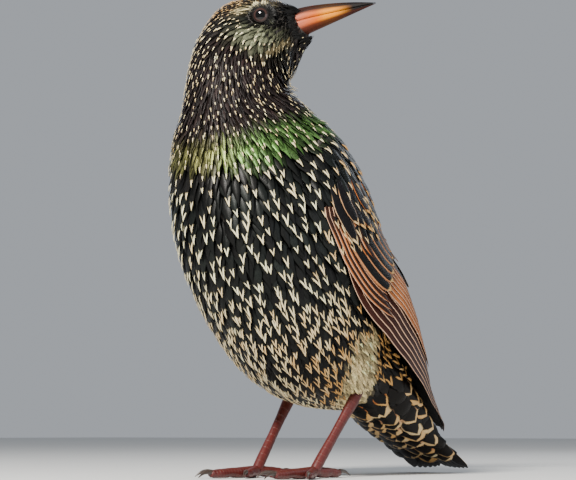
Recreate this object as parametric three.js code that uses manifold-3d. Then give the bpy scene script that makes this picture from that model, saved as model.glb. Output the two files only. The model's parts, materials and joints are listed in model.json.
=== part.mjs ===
// A starling in fresh winter plumage, life size, standing with its head turned to its left.
// Millimetres, +Z up. The bird faces -Y and its left side is +X. It stands on the plane z = 0.
import * as THREE from "three";
import { mergeVertices } from "three/addons/utils/BufferGeometryUtils.js";
import Module from "manifold-3d";

const wasm = await Module();
wasm.setup();

// ---------------------------------------------------------------- sizes
const GAP = 0.32; // clearance between neighbouring pieces

// Trunk and neck: stations up the body's axis, from the root of the tail to the middle of the head.
// y and z place the axis, half is the half width, back and front the depths behind and before it.
const TRUNK = [
  { y: 36.5, z: 31.0, half: 10.0, back: 12.5, front: 9.0 },
  { y: 22.0, z: 42.0, half: 18.6, back: 20.5, front: 20.5 },
  { y: 7.0, z: 59.0, half: 27.6, back: 25.5, front: 33.5 },
  { y: -5.5, z: 79.0, half: 29.6, back: 26.5, front: 36.5 },
  { y: -14.5, z: 97.0, half: 26.0, back: 21.0, front: 31.8 },
  { y: -21.5, z: 110.5, half: 17.2, back: 9.6, front: 23.4 },
  { y: -25.5, z: 122.5, half: 14.6, back: 10.6, front: 16.8 },
  { y: -22.5, z: 134.0, half: 11.5, back: 11.0, front: 11.5 },
];

// Head: its own frame, with the turn to the left, the lift of the bill and the tilt of the crown.
const HEAD_AT = [-0.4, -20.4, 138.2];
const HEAD_TURN = 120.0; // degrees from straight ahead, to the left
const HEAD_LIFT = 13.0; // degrees that the bill points above the horizon
const HEAD_ROLL = 0.0;
// Stations from the nape to the root of the bill: along, offset up, half width, up, down.
const HEAD = [
  { f: -5.4, c: -2.2, half: 9.5, up: 7.2, down: 10.0 },
  { f: 0.0, c: -0.4, half: 9.9, up: 10.4, down: 11.4 },
  { f: 6.0, c: -0.8, half: 9.0, up: 10.2, down: 13.0 },
  { f: 11.5, c: -1.2, half: 6.6, up: 7.9, down: 10.0 },
  { f: 16.0, c: -1.6, half: 4.6, up: 5.4, down: 6.2 },
];
const WING_ROWS = 20;
const WING_COLS = 9;
const BLEND_MM = 9.0; // how softly the head flows into the neck

// Eyes: balls set in the sides of the head.
const EYE_R = 4.0;
const EYE_F = 6.6;
const EYE_UP = 2.0;
const EYE_OUT = 1.1; // how far a ball stands out of the plumage

// Bill: from inside the face to the tip, in the head's frame.
const BILL_ROOT = 12.0;
const BILL_TIP = 41.6;
const BILL_ROOT_C = -0.9; // height of the gape line at the root and at the tip
const BILL_TIP_C = -0.6;
const BILL_HALF = 4.0; // half width at the root
const BILL_UP = 3.9; // culmen above the gape line at the root
const BILL_DOWN = 4.4;

// Wings: stations from the shoulder to the tip. u is the distance along the wing's own line, top and
// low are the angles of the two edges from the middle of the back, half and up the oval that the blade
// keeps clear of the rump and the tail.
const WING_LINE = [
  [-20.5, 110.5],
  [-14.5, 97.0],
  [-5.5, 79.0],
  [7.0, 60.0],
  [24.0, 46.0],
  [52.0, 28.0],
  [88.0, 5.5],
];
const WING = [
  { u: 5.0, top: 60, low: 78, thick: 0.9, half: 5, up: 5 },
  { u: 10.0, top: 40, low: 98, thick: 1.7, half: 5, up: 5 },
  { u: 18.0, top: 26, low: 110, thick: 2.1, half: 5, up: 5 },
  { u: 30.0, top: 14, low: 113, thick: 2.3, half: 24, up: 22 },
  { u: 44.0, top: 8, low: 110, thick: 2.4, half: 28, up: 25.5 },
  { u: 58.0, top: 5, low: 104, thick: 2.4, half: 29.5, up: 27.0 },
  { u: 72.0, top: 4, low: 96, thick: 2.4, half: 29.5, up: 25.8 },
  { u: 88.0, top: 4, low: 89, thick: 2.3, half: 26.5, up: 21.8 },
  { u: 104.0, top: 6, low: 83, thick: 2.1, half: 21.5, up: 16.6 },
  { u: 120.0, top: 10, low: 78, thick: 1.8, half: 15.5, up: 11 },
  { u: 134.0, top: 18, low: 74, thick: 1.4, half: 12, up: 7.6 },
  { u: 146.0, top: 40, low: 62, thick: 0.9, half: 10.2, up: 5.2 },
];

// Tail: stations from its root to the tip, along a line that comes down to the floor.
const TAIL_TIP = { y: 90.6, z: 0.45 };
const TAIL = [
  { t: -0.1, half: 10.5, up: 11.5, down: 9.0 },
  { t: 0.12, half: 11.4, up: 8.4, down: 8.8 },
  { t: 0.3, half: 11.6, up: 5.2, down: 7.2 },
  { t: 0.5, half: 11.9, up: 2.9, down: 5.0 },
  { t: 0.72, half: 12.5, up: 1.6, down: 2.6 },
  { t: 0.95, half: 13.2, up: 0.9, down: 1.3 },
  { t: 1.0, half: 13.2, up: 0.75, down: 1.1 },
];

// Legs: left side; the right one is mirrored.
const HIP = [19.0, 8.0, 47.0];
const ANKLE = [13.4, 19.0, 26.5];
const SOLE = [11.5, -1.5, 2.2]; // where the toes meet
const THIGH_R = [6.4, 6.4, 5.4, 3.9, 2.9];
const SHANK_SIDE = 1.35;
const SHANK_DEPTH = 1.75;
// Toes: name, direction from straight ahead, length, thickness, length of the claw.
const TOES = [
  { name: "inner", turn: -27, long: 14.5, thick: 1.45, claw: 5.2 },
  { name: "middle", turn: 3, long: 20.5, thick: 1.55, claw: 6.0 },
  { name: "outer", turn: 31, long: 15.5, thick: 1.4, claw: 5.0 },
  { name: "hind", turn: 182, long: 13.0, thick: 1.6, claw: 7.0 },
];

// ---------------------------------------------------------------- small helpers
const rad = (d) => (d * Math.PI) / 180;
const V = (x, y, z) => new THREE.Vector3(x, y, z);
const mix = (a, b, t) => a + (b - a) * t;

// A value along a list of stations, with smooth (monotone cubic) interpolation.
function along(list, key, at, value) {
  const n = list.length;
  const x = list.map((o) => o[key]);
  const y = list.map((o) => o[value]);
  const up = x[n - 1] > x[0];
  if (up ? at <= x[0] : at >= x[0]) return y[0];
  if (up ? at >= x[n - 1] : at <= x[n - 1]) return y[n - 1];
  let i = 0;
  while (up ? at > x[i + 1] : at < x[i + 1]) i++;
  const slope = (a) => (y[a + 1] - y[a]) / (x[a + 1] - x[a]);
  const tangent = (a) => {
    if (a === 0) return slope(0);
    if (a === n - 1) return slope(n - 2);
    const p = slope(a - 1),
      q = slope(a);
    return p * q <= 0 ? 0 : (2 * p * q) / (p + q);
  };
  const h = x[i + 1] - x[i],
    t = (at - x[i]) / h,
    m0 = tangent(i) * h,
    m1 = tangent(i + 1) * h;
  const t2 = t * t,
    t3 = t2 * t;
  return (
    (2 * t3 - 3 * t2 + 1) * y[i] +
    (t3 - 2 * t2 + t) * m0 +
    (-2 * t3 + 3 * t2) * y[i + 1] +
    (t3 - t2) * m1
  );
}

// Smooth union of two distances.
function blend(a, b, k) {
  const h = Math.max(k - Math.abs(a - b), 0) / k;
  return Math.min(a, b) - (h * h * k) / 4;
}

// Closed geometry from rings of equally many points, with a point at each end.
function skinOf(rings, first, last) {
  const n = rings[0].length,
    pos = [],
    index = [];
  for (const r of rings) for (const p of r) pos.push(p.x, p.y, p.z);
  pos.push(first.x, first.y, first.z, last.x, last.y, last.z);
  const a = rings.length * n,
    b = a + 1;
  for (let j = 0; j < n; j++) {
    const k = (j + 1) % n;
    index.push(a, k, j);
    for (let i = 0; i + 1 < rings.length; i++) {
      const p = i * n + j,
        q = i * n + k,
        r = (i + 1) * n + j,
        s = (i + 1) * n + k;
      index.push(p, q, s, p, s, r);
    }
    const e = (rings.length - 1) * n;
    index.push(b, e + j, e + k);
  }
  const g = new THREE.BufferGeometry();
  g.setAttribute("position", new THREE.Float32BufferAttribute(pos, 3));
  g.setIndex(index);
  return g;
}

// three.js geometry to a manifold solid and back.
function solid(geometry) {
  const g = geometry.clone();
  g.deleteAttribute("normal");
  g.deleteAttribute("uv");
  const m = mergeVertices(g, 1e-4);
  const make = (tri) =>
    new wasm.Manifold(
      new wasm.Mesh({
        numProp: 3,
        vertProperties: new Float32Array(m.attributes.position.array),
        triVerts: tri,
      }),
    );
  const tri = new Uint32Array(m.index.array);
  let made = make(tri);
  if (made.volume() < 0) {
    for (let i = 0; i < tri.length; i += 3)
      [tri[i + 1], tri[i + 2]] = [tri[i + 2], tri[i + 1]];
    made = make(tri);
  }
  return made;
}
function biggest(s) {
  return s.decompose().sort((a, b) => b.volume() - a.volume())[0];
}
function geometryOf(s) {
  const m = s.getMesh(),
    v = new Float32Array(m.numVert * 3);
  for (let i = 0; i < m.numVert; i++)
    v.set(
      m.vertProperties.subarray(i * m.numProp, i * m.numProp + 3),
      i * 3,
    );
  const g = new THREE.BufferGeometry();
  g.setAttribute("position", new THREE.BufferAttribute(v, 3));
  g.setIndex(new THREE.BufferAttribute(new Uint32Array(m.triVerts), 1));
  g.computeVertexNormals();
  return g;
}
function boxSolid(w, d, h, at) {
  const g = new THREE.BoxGeometry(w, d, h);
  g.translate(at[0], at[1], at[2]);
  return solid(g);
}
function ballSolid(r, at, wide = 16, high = 10) {
  const g = new THREE.SphereGeometry(r, wide, high);
  g.translate(at.x, at.y, at.z);
  return solid(g);
}

// ---------------------------------------------------------------- the body's axis
const axisCurve = new THREE.CatmullRomCurve3(
  TRUNK.map((o) => V(0, o.y, o.z)),
  false,
  "centripetal",
);
axisCurve.arcLengthDivisions = 400;
const AXIS_LONG = axisCurve.getLength();
// Arc length of each station, so that sizes can be read at any distance along the axis.
const lengths = axisCurve.getLengths(400);
TRUNK.forEach((o, i) => {
  o.s = lengths[Math.round((i / (TRUNK.length - 1)) * 400)];
});
const tailRoot = V(0, TRUNK[0].y, TRUNK[0].z);
const tailTip = V(0, TAIL_TIP.y, TAIL_TIP.z);
const tailDir = tailTip.clone().sub(tailRoot).normalize();
const TAIL_LONG = tailTip.distanceTo(tailRoot);

// Point, tangent (towards the head) and back direction of the axis at distance s; below zero it runs down the tail.
const BEND = 14.0; // length over which the axis turns from the trunk's line to the tail's
function frameAt(s) {
  const at = Math.min(Math.max(s, 0), AXIS_LONG) / AXIS_LONG;
  let c = axisCurve.getPointAt(at);
  let t = axisCurve.getTangentAt(at);
  if (s < 0) c = tailRoot.clone().addScaledVector(tailDir, -s);
  const w = Math.min(Math.max((s + BEND) / (2 * BEND), 0), 1);
  const k = w * w * (3 - 2 * w);
  if (s < BEND)
    t = tailDir
      .clone()
      .negate()
      .multiplyScalar(1 - k)
      .addScaledVector(t, k)
      .normalize();
  const back = V(1, 0, 0).cross(t).normalize(); // x cross tangent points out of the bird's back
  if (back.y < 0) back.negate();
  return { c, t, back };
}

// ---------------------------------------------------------------- the body's shape, as a distance
const TABLE = 72;
const trunkTable = [];
for (let i = 0; i <= TABLE; i++) {
  const s = (AXIS_LONG * i) / TABLE;
  const f = frameAt(s);
  trunkTable.push({
    c: f.c,
    side: V(1, 0, 0),
    up: f.back,
    half: along(TRUNK, "s", s, "half"),
    top: along(TRUNK, "s", s, "back"),
    low: along(TRUNK, "s", s, "front"),
  });
}
const headForward = V(
  Math.sin(rad(HEAD_TURN)) * Math.cos(rad(HEAD_LIFT)),
  -Math.cos(rad(HEAD_TURN)) * Math.cos(rad(HEAD_LIFT)),
  Math.sin(rad(HEAD_LIFT)),
);
const headLeft = V(0, 0, 1)
  .cross(headForward)
  .normalize()
  .applyAxisAngle(headForward, rad(HEAD_ROLL));
const headUp = headForward.clone().cross(headLeft).normalize();
const headMid = V(...HEAD_AT);
const inHead = (f, l, u) =>
  headMid
    .clone()
    .addScaledVector(headForward, f)
    .addScaledVector(headLeft, l)
    .addScaledVector(headUp, u);
const headTable = [];
for (let i = 0; i <= 30; i++) {
  const f = mix(HEAD[0].f, HEAD[HEAD.length - 1].f, i / 30);
  headTable.push({
    c: inHead(f, 0, along(HEAD, "f", f, "c")),
    side: headLeft,
    up: headUp,
    half: along(HEAD, "f", f, "half"),
    top: along(HEAD, "f", f, "up"),
    low: along(HEAD, "f", f, "down"),
  });
}
const q = V(0, 0, 0);
function tubeDistance(p, table) {
  let best = 1e9;
  for (const o of table) {
    q.subVectors(p, o.c);
    const d = q.length();
    const x = q.dot(o.side),
      n = q.dot(o.up);
    const l = Math.hypot(x, n);
    const cs = l > 1e-6 ? n / l : 1,
      sn = l > 1e-6 ? x / l : 0;
    const b = cs > 0 ? o.top : o.low;
    const r = 1 / Math.hypot(sn / o.half, cs / b);
    best = Math.min(best, d - r);
  }
  return best;
}
function bodyDistance(p) {
  return blend(
    tubeDistance(p, trunkTable),
    tubeDistance(p, headTable),
    BLEND_MM,
  );
}

// Distance from a point inside, along a direction, to where the body's surface is, plus an offset.
function reach(from, dir, offset = 0, most = 60) {
  let a = 0,
    b = most;
  const p = V(0, 0, 0);
  // the first crossing: march, then halve
  const step = 1.5;
  let r = 1;
  while (r < most) {
    p.copy(from).addScaledVector(dir, r);
    if (bodyDistance(p) > offset) break;
    r += step;
  }
  a = r - step;
  b = r;
  for (let i = 0; i < 18; i++) {
    const m = (a + b) / 2;
    p.copy(from).addScaledVector(dir, m);
    if (bodyDistance(p) > offset) b = m;
    else a = m;
  }
  return (a + b) / 2;
}

// The whole body as one closed surface: rings round the axis, and a dome of rays over the crown.
const AROUND = 32;
function bodyShell(offset) {
  const rings = [];
  const ring = (c, side, up, dir, tilt) => {
    const r = [];
    for (let j = 0; j < AROUND; j++) {
      const a = (2 * Math.PI * j) / AROUND;
      const d = side
        .clone()
        .multiplyScalar(Math.sin(a) * Math.cos(tilt))
        .addScaledVector(up, Math.cos(a) * Math.cos(tilt))
        .addScaledVector(dir, Math.sin(tilt))
        .normalize();
      r.push(c.clone().addScaledVector(d, reach(c, d, offset)));
    }
    rings.push(r);
  };
  const low = frameAt(1.0);
  const side = V(1, 0, 0);
  const down = low.t.clone().negate();
  for (const tilt of [45])
    ring(low.c, side, low.back, down, rad(tilt));
  const steps = 17;
  const from = 1.0,
    to = AXIS_LONG - 10.5;
  for (let i = 0; i <= steps; i++) {
    const s = mix(from, to, i / steps);
    const f = frameAt(s);
    ring(f.c, side, f.back, f.t, 0);
  }
  // the head: the planes of the rings turn level, then rays fan out over the crown
  const top = frameAt(to);
  const centre = headMid.clone();
  const rise = 5;
  for (let i = 1; i <= rise; i++) {
    const t = i / rise;
    const c = top.c.clone().lerp(centre, t);
    const dir = top.t.clone().lerp(headUp, t).normalize();
    const up = top.back.clone().addScaledVector(dir, -top.back.dot(dir)).normalize();
    const sd = up.clone().cross(dir).normalize();
    if (sd.x < 0) sd.negate();
    ring(c, sd, up, dir, 0);
  }
  const up = top.back.clone().addScaledVector(headUp, -top.back.dot(headUp)).normalize();
  const sd = up.clone().cross(headUp).normalize();
  if (sd.x < 0) sd.negate();
  for (const tilt of [14, 29, 44, 59, 74])
    ring(centre, sd, up, headUp, rad(tilt));
  const end = centre
    .clone()
    .addScaledVector(headUp, reach(centre, headUp, offset));
  const start = low.c.clone().addScaledVector(down, reach(low.c, down, offset));
  return skinOf(rings, start, end);
}
const body = solid(bodyShell(0));
const bodyGrown = solid(bodyShell(GAP));

// ---------------------------------------------------------------- tail
function tailShell(grow) {
  const rings = [];
  const steps = 10,
    n = 18;
  for (let i = 0; i <= steps; i++) {
    const t = mix(TAIL[0].t, 1, i / steps);
    const c = tailRoot.clone().addScaledVector(tailDir, t * TAIL_LONG + (i === steps ? grow : 0));
    const up = V(1, 0, 0).cross(tailDir).normalize();
    if (up.z < 0) up.negate();
    const half = along(TAIL, "t", t, "half") + grow,
      high = along(TAIL, "t", t, "up") + grow,
      low = along(TAIL, "t", t, "down") + grow;
    const ring = [];
    for (let j = 0; j < n; j++) {
      const a = (2 * Math.PI * j) / n;
      // a flattened oval, squarer towards the tip
      const pw = mix(1.0, 0.62, Math.max(0, Math.min(1, t)));
      const sx = Math.sign(Math.sin(a)) * Math.abs(Math.sin(a)) ** pw,
        sy = Math.sign(Math.cos(a)) * Math.abs(Math.cos(a)) ** pw;
      // the tip is notched: the middle feathers are a little shorter
      const notch = t > 0.9 ? (1 - Math.abs(sx)) * -1.6 * (t - 0.9) * 10 : 0;
      ring.push(
        c
          .clone()
          .addScaledVector(tailDir, notch)
          .addScaledVector(V(1, 0, 0), half * sx)
          .addScaledVector(up, sy > 0 ? high * sy : low * sy),
      );
    }
    rings.push(ring);
  }
  const end = tailRoot.clone().addScaledVector(tailDir, TAIL_LONG + grow - 1.4);
  const start = tailRoot
    .clone()
    .addScaledVector(tailDir, TAIL[0].t * TAIL_LONG - grow);
  return skinOf(rings, start, end);
}
const floorBelow = boxSolid(400, 400, 60, [0, 0, -30]);
const tail = biggest(
  solid(tailShell(0)).subtract(bodyGrown).subtract(floorBelow),
);
const tailGrown = solid(tailShell(GAP));

// ---------------------------------------------------------------- wings
// A wing is a thin shell that hugs the side of the body and runs on as a straight blade over the tail.
const wingLine = new THREE.CatmullRomCurve3(
  WING_LINE.map(([y, z]) => V(0, y, z)),
  false,
  "centripetal",
);
const WING_LONG = wingLine.getLength();
function wingFrame(u) {
  const at = Math.min(Math.max(u / WING_LONG, 0), 1);
  const c = wingLine.getPointAt(at);
  const t = wingLine.getTangentAt(at);
  const back = V(1, 0, 0).cross(t).normalize();
  if (back.y < 0) back.negate();
  return { c, t, back };
}
function wingShell(sign) {
  const rows = WING_ROWS,
    cols = WING_COLS;
  const outer = [],
    inner = [];
  for (let i = 0; i <= rows; i++) {
    const u = mix(WING[0].u, WING[WING.length - 1].u, i / rows);
    const f = wingFrame(u);
    const top = rad(along(WING, "u", u, "top")),
      low = rad(along(WING, "u", u, "low")),
      thick = along(WING, "u", u, "thick"),
      half = along(WING, "u", u, "half"),
      up = along(WING, "u", u, "up");
    const ro = [],
      ri = [];
    for (let j = 0; j <= cols; j++) {
      const v = j / cols;
      const a = mix(top, low, v);
      const d = V(sign * Math.sin(a), 0, 0).addScaledVector(f.back, Math.cos(a));
      const hug = bodyDistance(f.c) < -2 ? reach(f.c, d, 0) : 0;
      const blade = 1 / Math.hypot(Math.sin(a) / half, Math.cos(a) / up);
      const r = -blend(-hug, -blade, 2.5);
      const edge = Math.min(1, Math.min(v, 1 - v) * 5);
      const lift = thick * (0.5 + 0.5 * edge);
      ro.push(f.c.clone().addScaledVector(d, r + lift));
      ri.push(f.c.clone().addScaledVector(d, r - 0.25 * thick));
    }
    outer.push(ro);
    inner.push(ri);
  }
  // rings that run out along the outer face and back along the inner one
  const rings = outer.map((ro, i) => [...ro, ...inner[i].slice().reverse()]);
  const mean = (r) =>
    r.reduce((a, p) => a.add(p), V(0, 0, 0)).multiplyScalar(1 / r.length);
  return skinOf(rings, mean(rings[0]), mean(rings[rings.length - 1]));
}
const wingLeft = biggest(
  solid(wingShell(1)).subtract(bodyGrown).subtract(tailGrown),
);
const wingRight = biggest(
  solid(wingShell(-1)).subtract(bodyGrown).subtract(tailGrown),
);

// ---------------------------------------------------------------- round limbs
// A closed tube through points, with a half width and a depth at each, smooth between them.
function limb(points, side, depth, around, steps, up) {
  const curve = new THREE.CatmullRomCurve3(points, false, "centripetal");
  const rings = [];
  const n = points.length - 1;
  const read = (list, t) => {
    const x = t * n,
      i = Math.min(Math.floor(x), n - 1),
      k = x - i,
      e = k * k * (3 - 2 * k);
    return mix(list[i], list[i + 1], e);
  };
  for (let i = 0; i <= steps; i++) {
    const t = i / steps;
    const c = curve.getPoint(t),
      d = curve.getTangent(t);
    const a = d.clone().cross(up).normalize();
    const b = a.clone().cross(d).normalize();
    const w = read(side, t),
      h = read(depth, t);
    const ring = [];
    for (let j = 0; j < around; j++) {
      const q = (2 * Math.PI * j) / around;
      ring.push(
        c
          .clone()
          .addScaledVector(a, w * Math.cos(q))
          .addScaledVector(b, h * Math.sin(q)),
      );
    }
    rings.push(ring);
  }
  const first = curve.getPoint(0).addScaledVector(curve.getTangent(0), -side[0] * 0.4);
  const last = curve.getPoint(1).addScaledVector(curve.getTangent(1), side[n] * 0.4);
  return skinOf(rings, first, last);
}

// ---------------------------------------------------------------- legs
function legSolids(sign) {
  const m = (p) => V(sign * p[0], p[1], p[2]);
  const hip = m(HIP),
    ankle = m(ANKLE),
    sole = m(SOLE);
  // feathered thigh, from inside the belly's plumage to the ankle
  const knee = hip.clone().lerp(ankle, 0.5).add(V(sign * 1.0, -0.3, 0));
  const thighShell = (g) =>
    limb(
      [hip, hip.clone().lerp(knee, 0.5), knee, knee.clone().lerp(ankle, 0.55), ankle.clone().lerp(knee, 0.06)],
      THIGH_R.map((r) => r * 0.86 + g),
      THIGH_R.map((r) => r + g),
      12,
      6,
      V(0, 1, 0.3),
    );
  const thigh = biggest(solid(thighShell(0)).subtract(bodyGrown));
  const thighGrown = solid(thighShell(GAP));
  // scaled shank with the knob of the ankle, and the root of the toes
  const dir = sole.clone().sub(ankle).normalize();
  const shankPoints = [
    ankle.clone().addScaledVector(dir, -1.6),
    ankle.clone().addScaledVector(dir, 1.2),
    ankle.clone().lerp(sole, 0.3),
    ankle.clone().lerp(sole, 0.65),
    ankle.clone().lerp(sole, 0.9),
    sole.clone().add(V(0, 0.2, 0)),
  ];
  const shankShell = (g) =>
    limb(
      shankPoints,
      [1.3, 1.75, SHANK_SIDE, SHANK_SIDE * 0.96, SHANK_SIDE * 1.1, 1.7].map((r) => r + g),
      [1.6, 2.1, SHANK_DEPTH, SHANK_DEPTH * 0.92, SHANK_DEPTH, 1.9].map((r) => r + g),
      8,
      9,
      V(1, 0, 0),
    );
  const shank = biggest(
    solid(shankShell(0)).subtract(thighGrown).subtract(bodyGrown).subtract(floorBelow),
  );
  const shankGrown = solid(shankShell(GAP));
  const out = { thigh, shank, toes: [] };
  const others = [shankGrown];
  for (const toe of TOES) {
    const turn = rad(toe.turn) * sign;
    const way = V(Math.sin(turn), -Math.cos(turn), 0);
    const root = V(sole.x, sole.y, 0);
    const at = (d, z) => root.clone().addScaledVector(way, d).setZ(z);
    const L = toe.long,
      r = toe.thick;
    // pads swell under the joints, and the toe arches a little between them
    const pts = [
      at(0.4, 2.0),
      at(L * 0.22, 1.75),
      at(L * 0.42, 1.35),
      at(L * 0.6, 1.6),
      at(L * 0.8, 1.15),
      at(L, 1.25),
    ];
    const sz = [1.0, 1.02, 1.12, 0.86, 0.96, 0.66].map((k) => k * r);
    const toeShell = (g) =>
      limb(
        pts,
        sz.map((k) => k + g),
        sz.map((k) => k * 1.02 + g),
        8,
        6,
        V(0, 0, 1),
      );
    let s = solid(toeShell(0)).subtract(floorBelow);
    for (const o of others) s = s.subtract(o);
    const grown = solid(toeShell(GAP));
    // claw: a curved, tapering horn whose tip rests on the floor
    const C = toe.claw;
    const cp = [
      at(L - 1.2, 1.35),
      at(L + C * 0.25, 1.75),
      at(L + C * 0.55, 1.6),
      at(L + C * 0.82, 0.95),
      at(L + C, 0.34),
    ];
    const cs = [0.85, 0.8, 0.62, 0.42, 0.27];
    const clawSolid = biggest(
      solid(limb(cp, cs.map((k) => k * 0.8), cs, 6, 5, V(0, 0, 1)))
        .subtract(grown)
        .subtract(floorBelow),
    );
    out.toes.push({ name: toe.name, toe: biggest(s), claw: clawSolid });
    others.push(grown);
  }
  return out;
}
const legLeft = legSolids(1);
const legRight = legSolids(-1);

// ---------------------------------------------------------------- bill
// Half-round bars that taper to one point, split along the gape.
function billShell(upper, grow) {
  const rings = [],
    steps = 9,
    n = 10;
  for (let i = 0; i <= steps; i++) {
    const t = i / steps;
    const f = mix(BILL_ROOT, BILL_TIP - 0.4, t);
    const c = mix(BILL_ROOT_C, BILL_TIP_C, t) - 0.9 * Math.max(0, 0.35 - t) ** 2 * 8;
    const half = BILL_HALF * (1 - t) ** 0.82 * 0.94 + 0.28;
    // the culmen runs almost straight and bends down a little at the tip
    const high = upper
      ? BILL_UP * (1 - t ** 2.2) + 0.25
      : BILL_DOWN * (1 - t) ** 1.1 + 0.25;
    const g = GAP / 2;
    const ring = [];
    for (let j = 0; j <= n; j++) {
      const a = (Math.PI * j) / n;
      const x = half * Math.cos(a) + grow * Math.cos(a);
      const y = high * Math.sin(a) ** 0.85 + grow * Math.sin(a);
      ring.push(inHead(f, x, upper ? c + g + y : c - g - y));
    }
    rings.push(ring);
  }
  const tip = inHead(
    BILL_TIP + grow,
    0,
    BILL_TIP_C + (upper ? GAP / 2 + 0.12 : -GAP / 2 - 0.12),
  );
  const root = inHead(BILL_ROOT - 0.5 - grow, 0, BILL_ROOT_C + (upper ? 1.5 : -1.5));
  return skinOf(rings, root, tip);
}
const billUpper = biggest(solid(billShell(true, 0)).subtract(bodyGrown));
const billLower = biggest(solid(billShell(false, 0)).subtract(bodyGrown));

// ---------------------------------------------------------------- eyes
function eyeAt(sign) {
  // the ball's middle lies inside the cheek, so that EYE_OUT of it stands out of the plumage
  const from = inHead(EYE_F, 0, EYE_UP);
  const dir = headLeft.clone().multiplyScalar(sign);
  const r = reach(from, dir);
  return from.addScaledVector(dir, r + EYE_OUT - EYE_R);
}
const eyeLeftAt = eyeAt(1),
  eyeRightAt = eyeAt(-1);
const eyeLeft = ballSolid(EYE_R, eyeLeftAt),
  eyeRight = ballSolid(EYE_R, eyeRightAt);
const sockets = ballSolid(EYE_R + GAP, eyeLeftAt).add(
  ballSolid(EYE_R + GAP, eyeRightAt),
);

// ---------------------------------------------------------------- head, neck and trunk
// Thin cuts part the one body: at the collar and at the throat.
function slab(s, thick) {
  const f = frameAt(s);
  const g = new THREE.BoxGeometry(160, 160, thick);
  const m = new THREE.Matrix4().makeBasis(V(1, 0, 0), f.back, f.t);
  m.setPosition(f.c);
  g.applyMatrix4(m);
  return solid(g);
}
function slabHead(thick) {
  // across the throat, square to a line between the neck's axis and the head's
  const dir = headUp.clone().addScaledVector(headForward, 0.55).normalize();
  const c = inHead(-3.0, 0, -11.2);
  const g = new THREE.BoxGeometry(160, 160, thick);
  const a = headLeft.clone(),
    b = dir.clone().cross(a).normalize();
  g.applyMatrix4(new THREE.Matrix4().makeBasis(a, b, dir).setPosition(c));
  return solid(g);
}
const COLLAR = 99.5;
const parted = body
  .subtract(slab(COLLAR, GAP))
  .subtract(slabHead(GAP))
  .subtract(sockets)
  .decompose()
  .sort((a, b) => {
    const z = (s) => s.boundingBox().max[2];
    return z(b) - z(a);
  })
  .filter((s) => s.volume() > 20);
let [head, neck, trunk] = parted;

// ---------------------------------------------------------------- the scene graph
const bird = new THREE.Group();
const finish = (color, roughness, metalness = 0) =>
  new THREE.MeshStandardMaterial({ color, roughness, metalness });
const plumage = finish(0x1d1c18, 0.5);
const wingFinish = finish(0x3a2a1e, 0.55);
const thighFinish = finish(0xb3a57c, 0.8);
const legFinish = finish(0x8f2f25, 0.45);
const clawFinish = finish(0x2b2220, 0.35);
const billFinish = finish(0xc47a4a, 0.4);
const eyeFinish = finish(0x120a08, 0.08);
function add(name, s, material) {
  const mesh = new THREE.Mesh(geometryOf(s), material);
  mesh.name = name;
  bird.add(mesh);
}
add("head", head, plumage);
add("neck", neck, plumage);
add("trunk", trunk, plumage);
add("tail", tail, plumage);
add("wing_left", wingLeft, wingFinish);
add("wing_right", wingRight, wingFinish);
add("bill_upper", billUpper, billFinish);
add("bill_lower", billLower, billFinish);
add("eye_left", eyeLeft, eyeFinish);
add("eye_right", eyeRight, eyeFinish);
for (const [side, leg] of [
  ["left", legLeft],
  ["right", legRight],
]) {
  add("thigh_" + side, leg.thigh, thighFinish);
  add("shank_" + side, leg.shank, legFinish);
  for (const t of leg.toes) {
    add("toe_" + side + "_" + t.name, t.toe, legFinish);
    add("claw_" + side + "_" + t.name, t.claw, clawFinish);
  }
}

// Stand the model on z = 0 with the middle of its box over the origin.
const box = new THREE.Box3().setFromObject(bird);
bird.position.set(
  -(box.min.x + box.max.x) / 2,
  -(box.min.y + box.max.y) / 2,
  -box.min.z,
);

export default bird;
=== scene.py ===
import json
import math
import bpy
import numpy as np
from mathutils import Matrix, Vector, kdtree
from mathutils.bvhtree import BVHTree

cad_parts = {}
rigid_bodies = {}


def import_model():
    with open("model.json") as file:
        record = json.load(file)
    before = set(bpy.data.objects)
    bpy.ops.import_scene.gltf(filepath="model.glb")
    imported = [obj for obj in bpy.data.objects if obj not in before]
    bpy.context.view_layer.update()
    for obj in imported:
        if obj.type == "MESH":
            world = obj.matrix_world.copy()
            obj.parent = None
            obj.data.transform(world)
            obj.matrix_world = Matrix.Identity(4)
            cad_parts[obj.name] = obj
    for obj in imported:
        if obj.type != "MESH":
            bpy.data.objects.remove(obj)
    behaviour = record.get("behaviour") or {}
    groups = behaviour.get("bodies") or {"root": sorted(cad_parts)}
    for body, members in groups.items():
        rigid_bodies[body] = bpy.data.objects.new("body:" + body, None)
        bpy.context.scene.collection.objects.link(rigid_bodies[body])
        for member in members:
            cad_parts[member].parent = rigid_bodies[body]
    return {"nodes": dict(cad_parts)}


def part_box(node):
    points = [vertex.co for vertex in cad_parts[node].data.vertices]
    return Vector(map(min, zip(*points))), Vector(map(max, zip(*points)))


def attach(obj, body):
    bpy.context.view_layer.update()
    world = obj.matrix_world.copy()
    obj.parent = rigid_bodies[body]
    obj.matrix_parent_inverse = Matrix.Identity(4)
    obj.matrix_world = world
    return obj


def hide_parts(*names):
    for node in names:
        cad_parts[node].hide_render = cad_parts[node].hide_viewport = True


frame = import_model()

for o in [o for o in bpy.data.objects if o.name in ("Cube", "Light", "Camera")]:
    bpy.data.objects.remove(o)
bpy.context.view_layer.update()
NODES = frame["nodes"]
rng = np.random.default_rng(7)

# ------------------------------------------------------------------ frame
# Work in millimetres in the bird's own frame: x = 0 is its middle, it faces -y, its left is +x.
SHIFT = np.array([-1.48537, -22.10315, 0.0])
Z = np.array([0.0, 0.0, 1.0])
X = np.array([1.0, 0.0, 0.0])


def to_m(p):
    return (np.asarray(p, float) + SHIFT) * 0.001


def from_m(p):
    return np.asarray(p, float) * 1000.0 - SHIFT


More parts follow.
